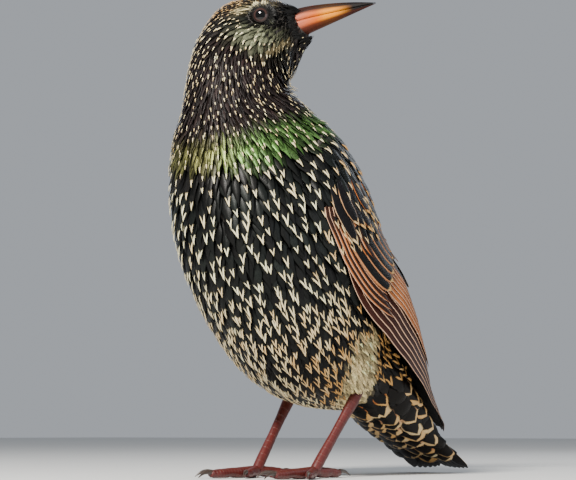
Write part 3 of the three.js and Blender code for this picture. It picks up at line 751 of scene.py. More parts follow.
def split_piece(name, parts, limit, material, nodes=()):
    """Joins lists of feathers into pieces that stay under a number of triangles."""
    groups, tri = [[]], 0
    for part in parts:
        v, q, t, vane, who, uv, col = part
        c = len(q) * 2 + len(t)
        if tri + c > limit and groups[-1]:
            groups.append([])
            tri = 0
        groups[-1].append(part)
        tri += c
    for gi, g in enumerate(groups):
        at = 0
        vs, qs, ts, uvs, va, ca, cb, cc = [], [], [], [], [], [], [], []
        for v, q, t, vane, who, uv, col in g:
            vs.append(v)
            qs.append(q + at)
            ts.append(t + at)
            uvs.append(uv)
            va.append(np.stack([vane[:, 0] * 0.5 + 0.5, vane[:, 1]], 1))
            ca.append(col["MarkA"])
            cb.append(col["MarkB"])
            cc.append(col["Tint"])
            at += len(v)
        me = fill(f"{name}_{gi}", np.vstack(vs), np.vstack(qs), np.vstack(ts), {"OFBake": np.vstack(uvs), "Vane": np.vstack(va)}, {"MarkA": np.vstack(ca), "MarkB": np.vstack(cb), "Tint": np.vstack(cc)})
        piece(f"{name}_{gi}", me, material, nodes if gi == 0 else ())


# ------------------------------------------------------------------ materials
def material(name):
    m = bpy.data.materials.new(name)
    m.use_nodes = True
    nt = m.node_tree
    nt.nodes.clear()
    out = nt.nodes.new("ShaderNodeOutputMaterial")
    b = nt.nodes.new("ShaderNodeBsdfPrincipled")
    nt.links.new(b.outputs[0], out.inputs[0])
    return m, nt, b


class Graph:
    def __init__(self, nt):
        self.nt = nt

    def put(self, s, v):
        if isinstance(v, bpy.types.NodeSocket):
            self.nt.links.new(v, s)
        elif v is not None:
            s.default_value = v

    def math(self, op, a, b=None, c=None, clamp=False):
        n = self.nt.nodes.new("ShaderNodeMath")
        n.operation = op
        n.use_clamp = clamp
        for s, v in zip(n.inputs, (a, b, c)):
            self.put(s, v)
        return n.outputs[0]

    def map(self, x, a, b, c=0.0, d=1.0, kind="SMOOTHSTEP"):
        n = self.nt.nodes.new("ShaderNodeMapRange")
        n.interpolation_type = kind
        for s, v in zip(n.inputs, (x, a, b, c, d)):
            self.put(s, v)
        return n.outputs[0]

    def blend(self, f, a, b, mode="MIX"):
        n = self.nt.nodes.new("ShaderNodeMix")
        n.data_type = "RGBA"
        n.blend_type = mode
        self.put(n.inputs[0], f)
        self.put(n.inputs[6], a)
        self.put(n.inputs[7], b)
        return n.outputs[2]

    def attr(self, name):
        n = self.nt.nodes.new("ShaderNodeAttribute")
        n.attribute_name = name
        s = self.nt.nodes.new("ShaderNodeSeparateColor")
        self.nt.links.new(n.outputs["Color"], s.inputs[0])
        return s.outputs[0], s.outputs[1], s.outputs[2], n.outputs["Alpha"]

    def uv(self, name):
        n = self.nt.nodes.new("ShaderNodeUVMap")
        n.uv_map = name
        s = self.nt.nodes.new("ShaderNodeSeparateXYZ")
        self.nt.links.new(n.outputs[0], s.inputs[0])
        return s.outputs[0], s.outputs[1]

    def vec(self, x, y, z=0.0):
        n = self.nt.nodes.new("ShaderNodeCombineXYZ")
        for s, v in zip(n.inputs, (x, y, z)):
            self.put(s, v)
        return n.outputs[0]

    def noise(self, vector, scale, detail=2.0, rough=0.5):
        n = self.nt.nodes.new("ShaderNodeTexNoise")
        self.put(n.inputs["Vector"], vector)
        n.inputs["Scale"].default_value = scale
        n.inputs["Detail"].default_value = detail
        n.inputs["Roughness"].default_value = rough
        return n.outputs[0]

    def place(self):
        return self.nt.nodes.new("ShaderNodeTexCoord").outputs["Object"]

    def bump(self, height, strength, distance, b):
        n = self.nt.nodes.new("ShaderNodeBump")
        n.inputs["Strength"].default_value = strength
        n.inputs["Distance"].default_value = distance
        self.put(n.inputs["Height"], height)
        self.nt.links.new(n.outputs[0], b.inputs["Normal"])


def rgba(r, g, b):
    return (r, g, b, 1.0)


CREAM = rgba(0.84, 0.81, 0.53)
BUFF = rgba(0.64, 0.34, 0.10)
RUFOUS = rgba(0.43, 0.130, 0.030)


def feather_material(name, kind):
    """Vanes with barbs; the markings come from each feather's own numbers."""
    m, nt, b = material(name)
    g = Graph(nt)
    u, t = g.uv("Vane")
    tip, full, buff, rand = g.attr("MarkA")
    edge, size, inner, gloss = g.attr("MarkB")
    tint = nt.nodes.new("ShaderNodeAttribute")
    tint.attribute_name = "Tint"
    base, line = tint.outputs["Color"], tint.outputs["Alpha"]
    signed = g.math("MULTIPLY_ADD", u, 2.0, -1.0)
    x = g.math("ABSOLUTE", signed)
    # barbs run from the shaft out and towards the tip
    barb = g.math("SUBTRACT", t, g.math("MULTIPLY", x, 0.10))
    lines = g.noise(g.vec(g.math("MULTIPLY", barb, g.math("MULTIPLY", size, 60.0)), g.math("MULTIPLY", x, 1.2), g.math("MULTIPLY", rand, 37.0)), 1.0, 2.0, 0.6)
    soft = g.math("MULTIPLY", g.math("SUBTRACT", lines, 0.5), 0.10)
    # the pale mark: it starts at 1 - tip and leaves a dark wedge in the middle
    start = g.math("SUBTRACT", 1.0, tip)
    tau = g.math("DIVIDE", g.math("SUBTRACT", g.math("ADD", t, soft), start), g.math("MAXIMUM", tip, 0.02), clamp=True)
    wedge = g.math("MULTIPLY", g.math("SUBTRACT", 1.0, full), g.math("SUBTRACT", 1.0, g.math("MULTIPLY", tau, 1.5)))
    inside = g.math("SUBTRACT", x, g.math("ADD", wedge, g.math("MULTIPLY", soft, 1.5)))
    pale = g.math("MULTIPLY", g.map(inside, -0.02, 0.14), g.map(tau, 0.0, 0.22))
    pale = g.math("MULTIPLY", pale, g.map(tip, 0.01, 0.05))
    # rims along the sides, the leading one and the inner one of their own widths
    wob = g.math("MULTIPLY", soft, 1.2)
    lead = g.map(g.math("ADD", signed, wob), g.math("SUBTRACT", 1.02, edge), g.math("SUBTRACT", 1.14, edge))
    lead = g.math("MULTIPLY", lead, g.map(edge, 0.01, 0.06))
    back = g.map(g.math("ADD", g.math("MULTIPLY", signed, -1.0), wob), g.math("SUBTRACT", 1.02, inner), g.math("SUBTRACT", 1.14, inner))
    back = g.math("MULTIPLY", back, g.map(inner, 0.01, 0.06))
    rim = g.math("MULTIPLY", g.math("MAXIMUM", lead, back), g.map(t, 0.10, 0.28))
    light = g.blend(buff, CREAM, BUFF)
    shade = g.math("MULTIPLY", g.math("SUBTRACT", lines, 0.45), 1.2, clamp=True)
    light = g.blend(shade, light, rgba(0.34, 0.25, 0.13))
    rim_col = g.blend(buff, CREAM, RUFOUS)
    rim_col = g.blend(shade, rim_col, rgba(0.13, 0.045, 0.015))
    dark = g.blend(g.math("MULTIPLY", g.map(lines, 0.62, 0.34), 0.65), base, rgba(0.002, 0.002, 0.002))
    col = g.blend(rim, dark, rim_col)
    if kind == "wing":
        hair = g.math("MULTIPLY", g.map(signed, 0.72, 0.86), line)
        col = g.blend(hair, col, rgba(0.74, 0.47, 0.32))
        shaft = g.map(x, 0.06, 0.02)
        col = g.blend(g.math("MULTIPLY", shaft, 0.5), col, rgba(0.010, 0.007, 0.006))
    col = g.blend(pale, col, light)
    nt.links.new(col, b.inputs["Base Color"])
    marked = g.math("MAXIMUM", pale, rim)
    rough = g.math("MULTIPLY_ADD", marked, 0.25, 0.40)
    nt.links.new(rough, b.inputs["Roughness"])
    metal = g.math("MULTIPLY", gloss, g.math("SUBTRACT", 1.0, marked))
    nt.links.new(metal, b.inputs["Metallic"])
    b.inputs["Specular IOR Level"].default_value = 0.16
    g.bump(lines, 0.35, 0.00012, b)
    return m


coat_mat = feather_material("feather_body", "body")
wing_mat = feather_material("feather_wing", "wing")

m, nt, b = material("skin_under_coat")
g = Graph(nt)
n1 = g.noise(g.place(), 900.0, 3.0)
nt.links.new(g.blend(n1, rgba(0.012, 0.010, 0.009), rgba(0.035, 0.028, 0.022)), b.inputs["Base Color"])
b.inputs["Roughness"].default_value = 0.8
g.bump(n1, 0.5, 0.0003, b)
skin_mat = m

me = fill("skin", skin_v, sq, np.zeros((0, 3)))
skin = piece("skin", me, skin_mat, FLESH)

# ------------------------------------------------------------------ body coat
COUNT = 42000
roots = scatter(cv, cq, lambda p: traits(p)["spacing"], COUNT, on_coat)
tr = traits(roots)
n = len(roots)
order = np.argsort(tr["s"] + 40 * tr["head"])
parts = []


def grow_coat(roots, marked, rows, spikes, lower=0.0):
    o = traits(roots)
    n = len(roots)
    rnd = rng.random(n)
    dw, df = wing_coords(roots)
    on_wing = (dw < df) & (dw < 2.0)
    length = o["length"] * (0.88 + 0.24 * rng.random(n))
    width = o["width"] * (0.9 + 0.2 * rng.random(n))
    deep = o["deep"] * (0.9 + 0.2 * rng.random(n))
    deep = np.where(on_wing, np.minimum(deep, 1.3), deep)
    rise = (0.12 + 0.22 * rnd) * np.clip(length / 9, 0.25, 1.0) - lower
    throat = smooth(0, 6, o["hf"]) * smooth(-6, -10, o["hu"]) * smooth(-21, -14, o["hu"]) * smooth(11, 7, np.abs(o["hl"]))
    rise = rise + 2.5 * throat
    length = length * (1 + 0.5 * throat)
    tint, gloss, keep, ear, streak = tints(o, roots)
    few = rng.random(n) < 0.42 * o["neck"] * smooth(116, 104, o["s"])
    tip = o["tip"] * (0.7 + 0.5 * rng.random(n)) * marked * keep * np.where(few, 0.0, 1.0)
    full = np.clip(o["full"] + 0.12 * rng.standard_normal(n), 0, 1)
    buff = np.clip(o["buff"] + 0.12 * rng.standard_normal(n), 0, 1)
    buff = np.where(on_wing, np.clip(buff + 0.5, 0, 1), buff)
    rim = np.where(o["under"] > 0.4, 0.38, 0.0) + 0.20 * o["back"] * (1 - o["neck"]) * (o["s"] < 84)
    plain = (o["s"] < -2) & (o["th"] < 74)
    plain |= (o["s"] < 13) & (o["th"] < 104) & (rng.random(n) < 0.6)
    hip = o["hip"]
    tip = np.where((hip > 0.4) | plain, 0.0, tip)
    rim = np.where((hip > 0.4) | plain, 0.0, rim) * (marked if marked else 0.0)
    tint = tint * (1 + 0.25 * rng.standard_normal(n))[:, None].clip(0.4, 1.7)
    tint = np.where((hip > 0.4)[:, None], tint * np.where(rng.random(n) < 0.25, 0.35, 1.0)[:, None], tint)
    if not marked:
        tint = np.where((hip > 0.4)[:, None], tint, tint * 0.5)
    bend = 0.10 * rng.standard_normal(n)
    v, q, t, vane, who = vanes(cover, roots, length, width, deep, rise, o["form"], rows, bend=bend, spikes=spikes, thick=0.10 if rows > 6 else 0.07)
    uv = bake_uv(roots, vane, who)
    col = attrs(who, tip=tip, full=full, buff=buff, rand=rnd, tint=np.clip(tint, 0, 1), gloss=gloss, line=0 * rnd, edge=rim, inner=rim, size=length / 10)
    return v, q, t, vane, who, uv, col


head_like = tr["head"] > 0.5
for chunk in np.array_split(np.where(~head_like)[0], 6):
    parts.append(grow_coat(roots[chunk], 1.0, 10, 14))
for chunk in np.array_split(np.where(head_like)[0], 3):
    parts.append(grow_coat(roots[chunk], 1.0, 6, 4))
print("feathers", n, "head", int(head_like.sum()))


def bill_bristles():
    """Short feathers that lie forward over the root of the bill: longest on the chin, then at the lores."""
    bv, bq, bn = remeshed(["head", "bill_upper", "bill_lower"], 0.2, 0.7, 3)
    surf = Surface(bv - bn * 0.15, bq, bn)
    k = 420
    ang = rng.uniform(-math.pi, math.pi, k)  # 0 is the top of the bill
    f0 = 12.2 + rng.random(k) * (2.2 + 4.6 * smooth(1.05, 0.45, np.abs(ang)) + 4.4 * smooth(2.1, 2.6, np.abs(ang)))
    r = 5.5
    root = head_at(f0, r * np.sin(ang), -1.2 + r * np.cos(ang))
    a = np.abs(ang)
    chin = smooth(2.2, 2.9, a)
    lore = np.exp(-(((a - 0.75) / 0.42) ** 2))
    length = (1.5 + 1.0 * chin + 1.6 * lore + 0.7 * rng.random(k)) * (1.0 - 0.05 * (f0 - 12.2))
    width = 0.55 + 0.25 * rng.random(k)
    tint = np.tile([0.004, 0.0035, 0.003], (k, 1))
    z = np.zeros(k)
    rnd = rng.random(k)
    v, q, t, vane, who = vanes(surf, root, length, width, z + 0.35, z + 0.10 + 0.15 * rnd, z, 7, bend=0.12 * rng.standard_normal(k), spikes=2, thick=0.07, way=forward)
    pale = (chin > 0.5) & (rng.random(k) < 0.12)
    col = attrs(who, tip=np.where(pale, 0.3, 0.0), full=z + 1, buff=z + 0.4, rand=rnd, tint=tint, gloss=z + 0.1, line=z, edge=z, inner=z, size=length / 10)
    return v, q, t, vane, who, bake_uv(root, vane, who), col


def eye_ring_feathers():
    """Tiny feathers on the rim of each socket, lying outwards from the lids."""
    out = []
    for c, sg in zip(EYES, EYE_SIDE):
        axis = HL * sg
        c = c - axis * EYE_IN
        e1 = unit(np.cross(axis, HU))
        e2 = np.cross(axis, e1)
        rr, around = np.linspace(2.2, 6.4, 26), 60
        high = lambda r: np.interp(r, [2.2, 2.6, 3.0, 3.4, 3.8, 4.4, 5.2, 6.4], [3.40, 3.12, 2.78, 2.52, 2.38, 2.26, 2.05, 1.55])
        ph = np.linspace(0, 2 * math.pi, around, endpoint=False)
        ray = np.cos(ph)[:, None] * e1 + np.sin(ph)[:, None] * e2
        v = c + rr[:, None, None] * ray[None] + high(rr)[:, None, None] * axis
        slope = np.gradient(high(rr), rr)
        nrm = unit(axis - slope[:, None, None] * ray[None])
        i, j = np.meshgrid(np.arange(len(rr) - 1), np.arange(around), indexing="ij")
        j2 = (j + 1) % around
        q4 = np.stack([i * around + j, (i + 1) * around + j, (i + 1) * around + j2, i * around + j2], -1).reshape(-1, 4)
        f4 = v.reshape(-1, 3)[q4[0]]
        if dots(np.cross(f4[1] - f4[0], f4[2] - f4[0])[None], nrm.reshape(-1, 3)[q4[0, :1]])[0] < 0:
            q4 = q4[:, ::-1]
        surf = Surface(v.reshape(-1, 3), q4, nrm.reshape(-1, 3))
        k = 190
        a = (np.arange(k) * 2.39996) % (2 * math.pi)
        r0 = 2.62 + 1.15 * rng.random(k)
        root = c + r0[:, None] * (np.cos(a)[:, None] * e1 + np.sin(a)[:, None] * e2) + high(r0)[:, None] * axis

        def away(p, c=c, axis=axis):
            d = p - c
            d = unit(d - dots(d, axis[None] + 0 * d)[:, None] * axis)
            return unit(d - 0.25 * HF)

        o = traits(root)
        tint = tints(o, root)[0]
        z, rnd = np.zeros(k), rng.random(k)
        length = 1.25 + 0.6 * rng.random(k)
        g_ = vanes(surf, root, length, 0.62 + 0.2 * rnd, z + 0.05, z + 0.16 + 0.10 * rnd, z, 6, bend=0.15 * rng.standard_normal(k), spikes=2, thick=0.06, way=away)
        v, q, t, vane, who = g_
        col = attrs(who, tip=z, full=z + 1, buff=z + 0.4, rand=rnd, tint=np.clip(tint, 0, 1), gloss=z + 0.05, line=z, edge=z, inner=z, size=length / 10)
        out.append((v, q, t, vane, who, bake_uv(root, vane, who), col))
    return out


parts.append(bill_bristles())
parts.extend(eye_ring_feathers())
split_piece("coat", parts, 190000, coat_mat)

# a plain layer under the marked feathers fills the coat
fill_roots = scatter(cv, cq, lambda p: np.maximum(traits(p)["spacing"] * 0.86, 0.9), 30000, lambda p: on_coat(p) * (traits(p)["face"] < 0.6))
parts = []
for chunk in np.array_split(np.arange(len(fill_roots)), 6):
    parts.append(grow_coat(fill_roots[chunk], 0.0, 6, 6, lower=0.45))
print("fillers", len(fill_roots))
split_piece("down", parts, 190000, coat_mat)

# ------------------------------------------------------------------ wings
def lerp_rows(table, u):
    u = np.clip(u, wl_u[0], wl_u[-1])
    return np.stack([np.interp(u, wl_u, table[:, k]) for k in range(3)], -1)


GU, GQ = 150, 41
gu = np.linspace(4.0, 148.0, GU)
gq = np.linspace(0, 1, GQ)


def wing_grid(sign):
    c = lerp_rows(wl, gu)
    bk = unit(lerp_rows(wl_b, gu))
    val = lambda k: np.interp(gu, WING[:, 0], WING[:, k])
    top, low, half, up = np.radians(val(1)), np.radians(val(2)), val(4), val(5)
    a = top[:, None] + (low - top)[:, None] * gq[None]
    d = sign * X[None, None] * np.sin(a)[..., None] + bk[:, None] * np.cos(a)[..., None]
    hug = np.zeros((GU, GQ))
    for i in range(GU):
        for j in range(GQ):
            o = c[i] + d[i, j] * 70
            hit = flesh_tree.ray_cast(Vector(o), Vector(-d[i, j]), 69)
            if hit[0] is not None:
                hug[i, j] = max(70 - hit[3], 0)
    blade = 1 / np.hypot(np.sin(a) / half[:, None], np.cos(a) / up[:, None])
    k = 2.5
    h = np.maximum(k - np.abs(hug - blade), 0) / k
    r = np.maximum(hug, blade) + h * h * k / 4
    # ease the kinks of the faceted body
    for _ in range(6):
        r[1:-1] = (r[:-2] + 2 * r[1:-1] + r[2:]) / 4
        r[:, 1:-1] = (r[:, :-2] + 2 * r[:, 1:-1] + r[:, 2:]) / 4
    return c[:, None] + d * r[..., None]


class Wing:
    lowest = 0.0

    def __init__(self, sign):
        self.sign = sign
        self.p = wing_grid(sign)
        du = np.gradient(self.p, axis=0)
        dq = np.gradient(self.p, axis=1)
        n = unit(np.cross(du, dq))
        out = self.p - lerp_rows(wl, gu)[:, None]
        if dots(n, out).mean() < 0:
            n = -n
        self.n = n
        self.across = np.linalg.norm(np.diff(self.p, axis=1), axis=2).sum(1)

    def at(self, u, q):
        x = np.clip((u - gu[0]) / (gu[1] - gu[0]), 0, GU - 1.001)
        y = np.clip(q, 0, 1) * (GQ - 1)
        y = np.clip(y, 0, GQ - 1.001)
        i, j = x.astype(int), y.astype(int)
        a, b = (x - i)[..., None], (y - j)[..., None]
        f = lambda g: (g[i, j] * (1 - a) + g[i + 1, j] * a) * (1 - b) + (g[i, j + 1] * (1 - a) + g[i + 1, j + 1] * a) * b
        p, n = f(self.p), unit(f(self.n))
        over = (q - np.clip(q, 0, 1))[..., None]  # beyond an edge: carry straight on
        w = np.interp(u, gu, self.across)[..., None]
        edge = unit(f(np.gradient(self.p, axis=1)))
        return p + edge * over * w, n

    def mm(self, u):
        return np.interp(u, gu, self.across)


def long_vane(wing, u0, q0, u1, q1, w_in, w_out, h0, h1, form, rows=26, thick=0.22, arch=0.16, bow=0.0, from_back=False):
    """One long feather on the wing. w_in and w_out are its half widths towards the back and the leading edge."""
    tt = np.linspace(0, 1, rows)
    u = mix(u0, u1, tt)
    # the distance from the leading edge changes evenly, in mm
    m0, m1 = (1 - q0) * float(wing.mm(np.array([u0]))[0]), (1 - q1) * float(wing.mm(np.array([u1]))[0])
    q = 1 - (mix(m0, m1, tt) - bow * np.sin(math.pi * tt)) / wing.mm(u)
    if from_back:
        b0, b1 = q0 * float(wing.mm(np.array([u0]))[0]), q1 * float(wing.mm(np.array([u1]))[0])
        q = mix(b0, b1, tt) / wing.mm(u)
    prof = np.interp(tt, [0, 0.08, 0.3, 0.7, 0.88, 0.96, 1.0], form)
    xs = np.concatenate([TOP, TOP[1:-1][::-1]])
    off = np.where(xs[None] < 0, w_in * xs[None], w_out * xs[None]) * prof[:, None]
    uu = u[:, None] + 0 * off
    qq = np.maximum(q[:, None] + off / wing.mm(u)[:, None], wing.lowest)
    p, nrm = wing.at(uu, qq)
    h = mix(h0, h1, tt)[:, None] + arch * (1 - xs[None] ** 2) - thick * (0.35 + 0.65 * (1 - np.abs(xs)))[None] * np.concatenate([np.zeros(7), np.ones(5)])[None]
    p = p + nrm * h[..., None]
    m = len(xs)
    tip = p[-1].mean(0) + unit(p[-1].mean(0) - p[-2].mean(0)) * 0.4
    root = p[0].mean(0)
    v = np.vstack([p.reshape(-1, 3), root, tip])
    i, j = np.meshgrid(np.arange(rows - 1), np.arange(m), indexing="ij")
    j2 = (j + 1) % m
    q4 = np.stack([i * m + j, i * m + j2, (i + 1) * m + j2, (i + 1) * m + j], -1).reshape(-1, 4)
    ja = np.arange(m)
    t3 = np.vstack([np.stack([np.full(m, rows * m), (ja + 1) % m, ja], 1), np.stack([np.full(m, rows * m + 1), (rows - 1) * m + ja, (rows - 1) * m + (ja + 1) % m], 1)])
    vane = np.vstack([np.stack([np.tile(xs, rows), np.repeat(tt, m)], 1), [[0, 0], [0, 1]]])
    if wing.sign < 0:
        q4, t3 = q4[:, ::-1], t3[:, ::-1]
    return v, q4, t3, vane


FLIGHT = [0.35, 0.7, 1.0, 1.0, 0.8, 0.5, 0.06]
BROAD = [0.4, 0.8, 1.0, 1.0, 0.9, 0.62, 0.1]
POINTED = [0.35, 0.7, 1.0, 0.9, 0.62, 0.36, 0.04]

sheet_count = 0


def add_long(parts, geo, length, tip=0.0, full=0.6, buff=0.8, edge=0.2, inner=0.0, line=0.0, tint=(0.010, 0.009, 0.009), gloss=0.3):
    global sheet_count
    v, q, t, vane = geo
    who = np.zeros(len(v), int)
    one = lambda x: np.array([x], float)
    # its own patch on the map, in a grid
    i = sheet_count
    sheet_count += 1
    cx, cy = 0.012 + 0.024 * (i % 40), 0.04 + 0.08 * (i // 40)
    uv = np.stack([cx + vane[:, 0] * 0.010, cy + (vane[:, 1] - 0.5) * 0.074], 1)
    col = attrs(who, tip=one(tip), full=one(full), buff=one(buff), rand=one(rng.random()), tint=np.array([tint], float), gloss=one(gloss), line=one(line), edge=one(edge), inner=one(inner), size=one(length / 10))
    parts.append((v, q, t, vane, who, uv, col))


def build_wing(sign, name, node):
    w = Wing(sign)
    parts = []
    mmq = lambda u, mm: 1 - mm / w.mm(np.array([u]))[0]  # q at a distance in mm from the leading edge
    # base plate: the inner face that carries the feathers
    # primaries: the outermost lies lowest, at the leading edge
    tips_u = [146, 145.5, 143.5, 139.5, 134.5, 129, 124, 119, 114.5]
    for k in range(9):
        u0, u1 = 47 + k * 1.0, tips_u[k]
        q0 = mmq(u0, 1.4 + 1.9 * k)
        q1 = mmq(u1, 1.8 + 1.0 * k)
        h = 0.05 + 0.15 * k
        add_long(parts, long_vane(w, u0, q0, u1, q1, 6.5, 1.7, h, h * 0.9 + 0.05, POINTED, rows=34, arch=0.03, thick=0.14, bow=6.4 - 0.45 * k), 90, buff=0.8, edge=0.30, line=1.0, tint=(0.060, 0.014, 0.008))
    # secondaries: lie above, with rufous outer webs
    for k in range(7):
        u0, u1 = 50 + k * 0.5, 110 - k * 1.9
        q0 = mmq(u0, 10.0 + 1.5 * k)
        q1 = mmq(u1, 4.2 + 1.75 * k)
        h = 1.30 + 0.12 * k
        add_long(parts, long_vane(w, u0, q0, u1, q1, 5.5, 2.0, h, h, FLIGHT, arch=0.05, thick=0.16, bow=0.3), 55, buff=1.0, edge=0.80, line=0.8, tint=(0.022, 0.010, 0.007))
    # tertials: broad, dark and glossy, nearest the back
    for k in range(6):
        u0, u1 = 42, 103 - k * 7
        q0 = mmq(u0, 24.0 + 5.6 * k)
        q1 = mmq(u1, 17.0 + 3.6 * k)
        h = 2.0 + 0.14 * k
        add_long(parts, long_vane(w, u0, q0, u1, q1, 5.8, 4.4, h * 0.3, h, BROAD, arch=0.10, bow=0.5), 50, buff=0.9, edge=0.22, inner=0.10, tint=(0.010, 0.012, 0.016), gloss=0.5)
    # the innermost flight feathers follow the back edge
    for k in range(5):
        u0, u1 = 54, 136 - 8.5 * k
        q0 = (3.5 + 4.6 * k) / w.mm(np.array([u0]))[0]
        q1 = (2.2 + 3.0 * k) / w.mm(np.array([u1]))[0]
        h = 1.85 - 0.14 * k
        add_long(parts, long_vane(w, u0, q0, u1, q1, 4.8, 4.4, h, h * 0.6, FLIGHT, rows=34, arch=0.08, thick=0.16, from_back=True), 60, buff=0.8, edge=0.22, line=0.3, tint=(0.008, 0.008, 0.010), gloss=0.4)
    # scapulars and inner coverts over the roots of the tertials, the lower rows first
    for r_, (ua, ub) in enumerate(((58, 85), (49, 74), (40, 63), (31, 53), (24, 43))):
        for k in range(6):
            b_ = 2.4 + 3.6 * k + (1.8 if r_ % 2 else 0.0)
            u1 = ub + rng.uniform(-1.5, 1.5) - 1.2 * k
            q0 = b_ * 0.95 / w.mm(np.array([ua]))[0]
            q1 = b_ / w.mm(np.array([u1]))[0]
            lie = lambda u: 0.45 + 2.35 * float(smooth(26, 64, np.array([u]))[0]) + 0.10 * r_ + 0.04 * k
            add_long(parts, long_vane(w, ua, q0, u1, q1, 3.4, 3.4, lie(ua) - 0.9, lie(u1) + 0.3, BROAD, rows=16, from_back=True), 22, tip=0.07, full=0.5, buff=rng.uniform(0.6, 1.0), edge=0.20, inner=0.20, tint=(0.006, 0.007, 0.008), gloss=0.3)
    # greater coverts over the bases of the secondaries: long, dark, with rufous rims
    for k in range(9):
        u0, u1 = 28 + k * 0.4, 62.5 - k * 0.9
        q0 = mmq(u0, 5.0 + 2.9 * k)
        q1 = mmq(u1, 7.4 + 3.15 * k)
        h = 2.15 + 0.06 * k
        add_long(parts, long_vane(w, u0, q0, u1, q1, 2.7, 2.0, h - 0.7, h + 0.2, BROAD, rows=20), 30, tip=0.05, full=1.0, buff=0.9, edge=0.44, inner=0.30, tint=(0.004, 0.004, 0.004), gloss=0.1)
    # primary coverts and the alula at the leading edge
    for k in range(7):
        u0, u1 = 27 + k * 0.5, 70 - k * 2.6
        q0 = mmq(u0, 0.9 + 1.30 * k)
        q1 = mmq(u1, 1.2 + 1.50 * k)
        h = 1.25 + 0.12 * k
        add_long(parts, long_vane(w, u0, q0, u1, q1, 1.9, 1.0, h, h + 0.15, POINTED, rows=16), 26, buff=1.0, edge=0.7, line=0.9, tint=(0.040, 0.014, 0.008))
    # median coverts
    for k in range(1, 14):
        u0, u1 = 22, 39.0 + 3.0 * math.sin(k * 2.1)
        q0 = mmq(u0, 2.5 + 2.6 * k + rng.uniform(-0.4, 0.4))
        q1 = mmq(u1, 3.6 + 2.6 * k + rng.uniform(-0.6, 0.6))
        h = 2.35 + 0.1 * (k % 3)
        if q0 > -0.02 and q1 > -0.02:
            add_long(parts, long_vane(w, u0, q0, u1, q1, 2.1, 2.1, h - 0.8, h + 0.25, POINTED, rows=14), 18, tip=0.14, full=0.5, buff=rng.uniform(0.6, 1.0), edge=0.20, inner=0.20, tint=(0.008, 0.007, 0.008))
    split_piece(name, parts, 190000, wing_mat, (node,))
    # the plate under the feathers, closed and thin
    u = np.linspace(8, 143, 70)
    q = np.linspace(0.03, 1.0, 20)
    U, Q = np.meshgrid(u, q, indexing="ij")
    Q = Q * (1 - 1.6 / w.mm(u))[:, None]
    p, n_ = w.at(U, Q)
    a, c = p - n_ * 0.10, p - n_ * 0.50
    ring = np.concatenate([a, c[:, ::-1]], 1)
    m_ = ring.shape[1]
    v = ring.reshape(-1, 3)
    i, j = np.meshgrid(np.arange(len(u) - 1), np.arange(m_), indexing="ij")
    j2 = (j + 1) % m_
    q4 = np.stack([i * m_ + j, i * m_ + j2, (i + 1) * m_ + j2, (i + 1) * m_ + j], -1).reshape(-1, 4)
    ends = []
    for r0, flip in ((0, True), ((len(u) - 1) * m_, False)):
        for j in range(len(q) - 1):
            f = [r0 + j, r0 + j + 1, r0 + m_ - 2 - j, r0 + m_ - 1 - j]
            ends.append(f[::-1] if flip else f)
    q4 = np.vstack([q4, ends])
    if sign < 0:
        q4 = q4[:, ::-1]
    me = fill(name + "_web", v, q4, np.zeros((0, 3)), {"OFBake": np.stack([np.tile(np.linspace(0, 1, m_), len(u)), np.repeat(np.linspace(0, 1, len(u)), m_)], 1)})
    piece(name + "_web", me, skin_mat)


build_wing(1, "wing_feathers_left", "wing_left")
build_wing(-1, "wing_feathers_right", "wing_right")

# ------------------------------------------------------------------ tail: twelve long feathers and the coverts above
tail_up = unit(np.cross(X, TAIL_DIR))
if tail_up[2] < 0:
    tail_up = -tail_up


class TailTop:
    sign = 1
    lowest = -99.0

    def at(self, u, q):
        # u along the tail in mm, q across in mm
        t = np.clip(u / TAIL_LONG, 0, 1.05)
        up = np.interp(t, [0, 0.12, 0.3, 0.5, 0.72, 0.95, 1.05], [6.5, 4.8, 3.0, 1.9, 1.1, 0.8, 0.7])
        p = TAIL_ROOT + u[..., None] * TAIL_DIR + q[..., None] * X + (up * (1 - 0.35 * (q / 13.0) ** 2))[..., None] * tail_up
        return p, np.broadcast_to(tail_up, p.shape)

    def mm(self, u):
        return np.ones_like(u)


tt_ = TailTop()
parts = []
for side in (-1, 1):
    for k in range(6):
        # the middle pair is on top and a little shorter, so that the tip has a shallow notch
        u0, u1 = 4.0, TAIL_LONG - 1.8 + 0.45 * k - 0.12 * k * k
        q0, q1 = side * (0.6 + 1.2 * k), side * (1.5 + 1.95 * k)
        h = 0.25 - 0.17 * k
        wi, wo = (5.0, 1.8) if side > 0 else (1.8, 5.0)
        geo = long_vane(tt_, u0, q0, u1, q1, wi if k else 3.2, wo if k else 3.2, h, h, [0.35, 0.6, 0.9, 1.0, 0.95, 0.7, 0.15], rows=24, thick=0.25)
        add_long(parts, geo, 60, buff=0.55, edge=0.16 if side > 0 else 0.0, inner=0.16 if side < 0 else 0.0, tint=(0.020, 0.013, 0.010))
for row, (ua, ub, cnt, wd) in enumerate([(10, 30, 7, 4.0), (4, 23, 7, 4.0), (-2, 15, 7, 4.2)]):
    for k in range(cnt):
        q = (k - (cnt - 1) / 2) * 2.8
        geo = long_vane(tt_, float(ua), q * 0.8, ub - abs(q) * 0.5, q, wd / 2, wd / 2, 0.2 + 0.3 * row, 0.75 + 0.3 * row, BROAD, rows=12)
        add_long(parts, geo, 18, tip=0.1, full=1.0, buff=0.8, edge=0.30, inner=0.30)
split_piece("tail_feathers", parts, 190000, wing_mat, ("tail",))


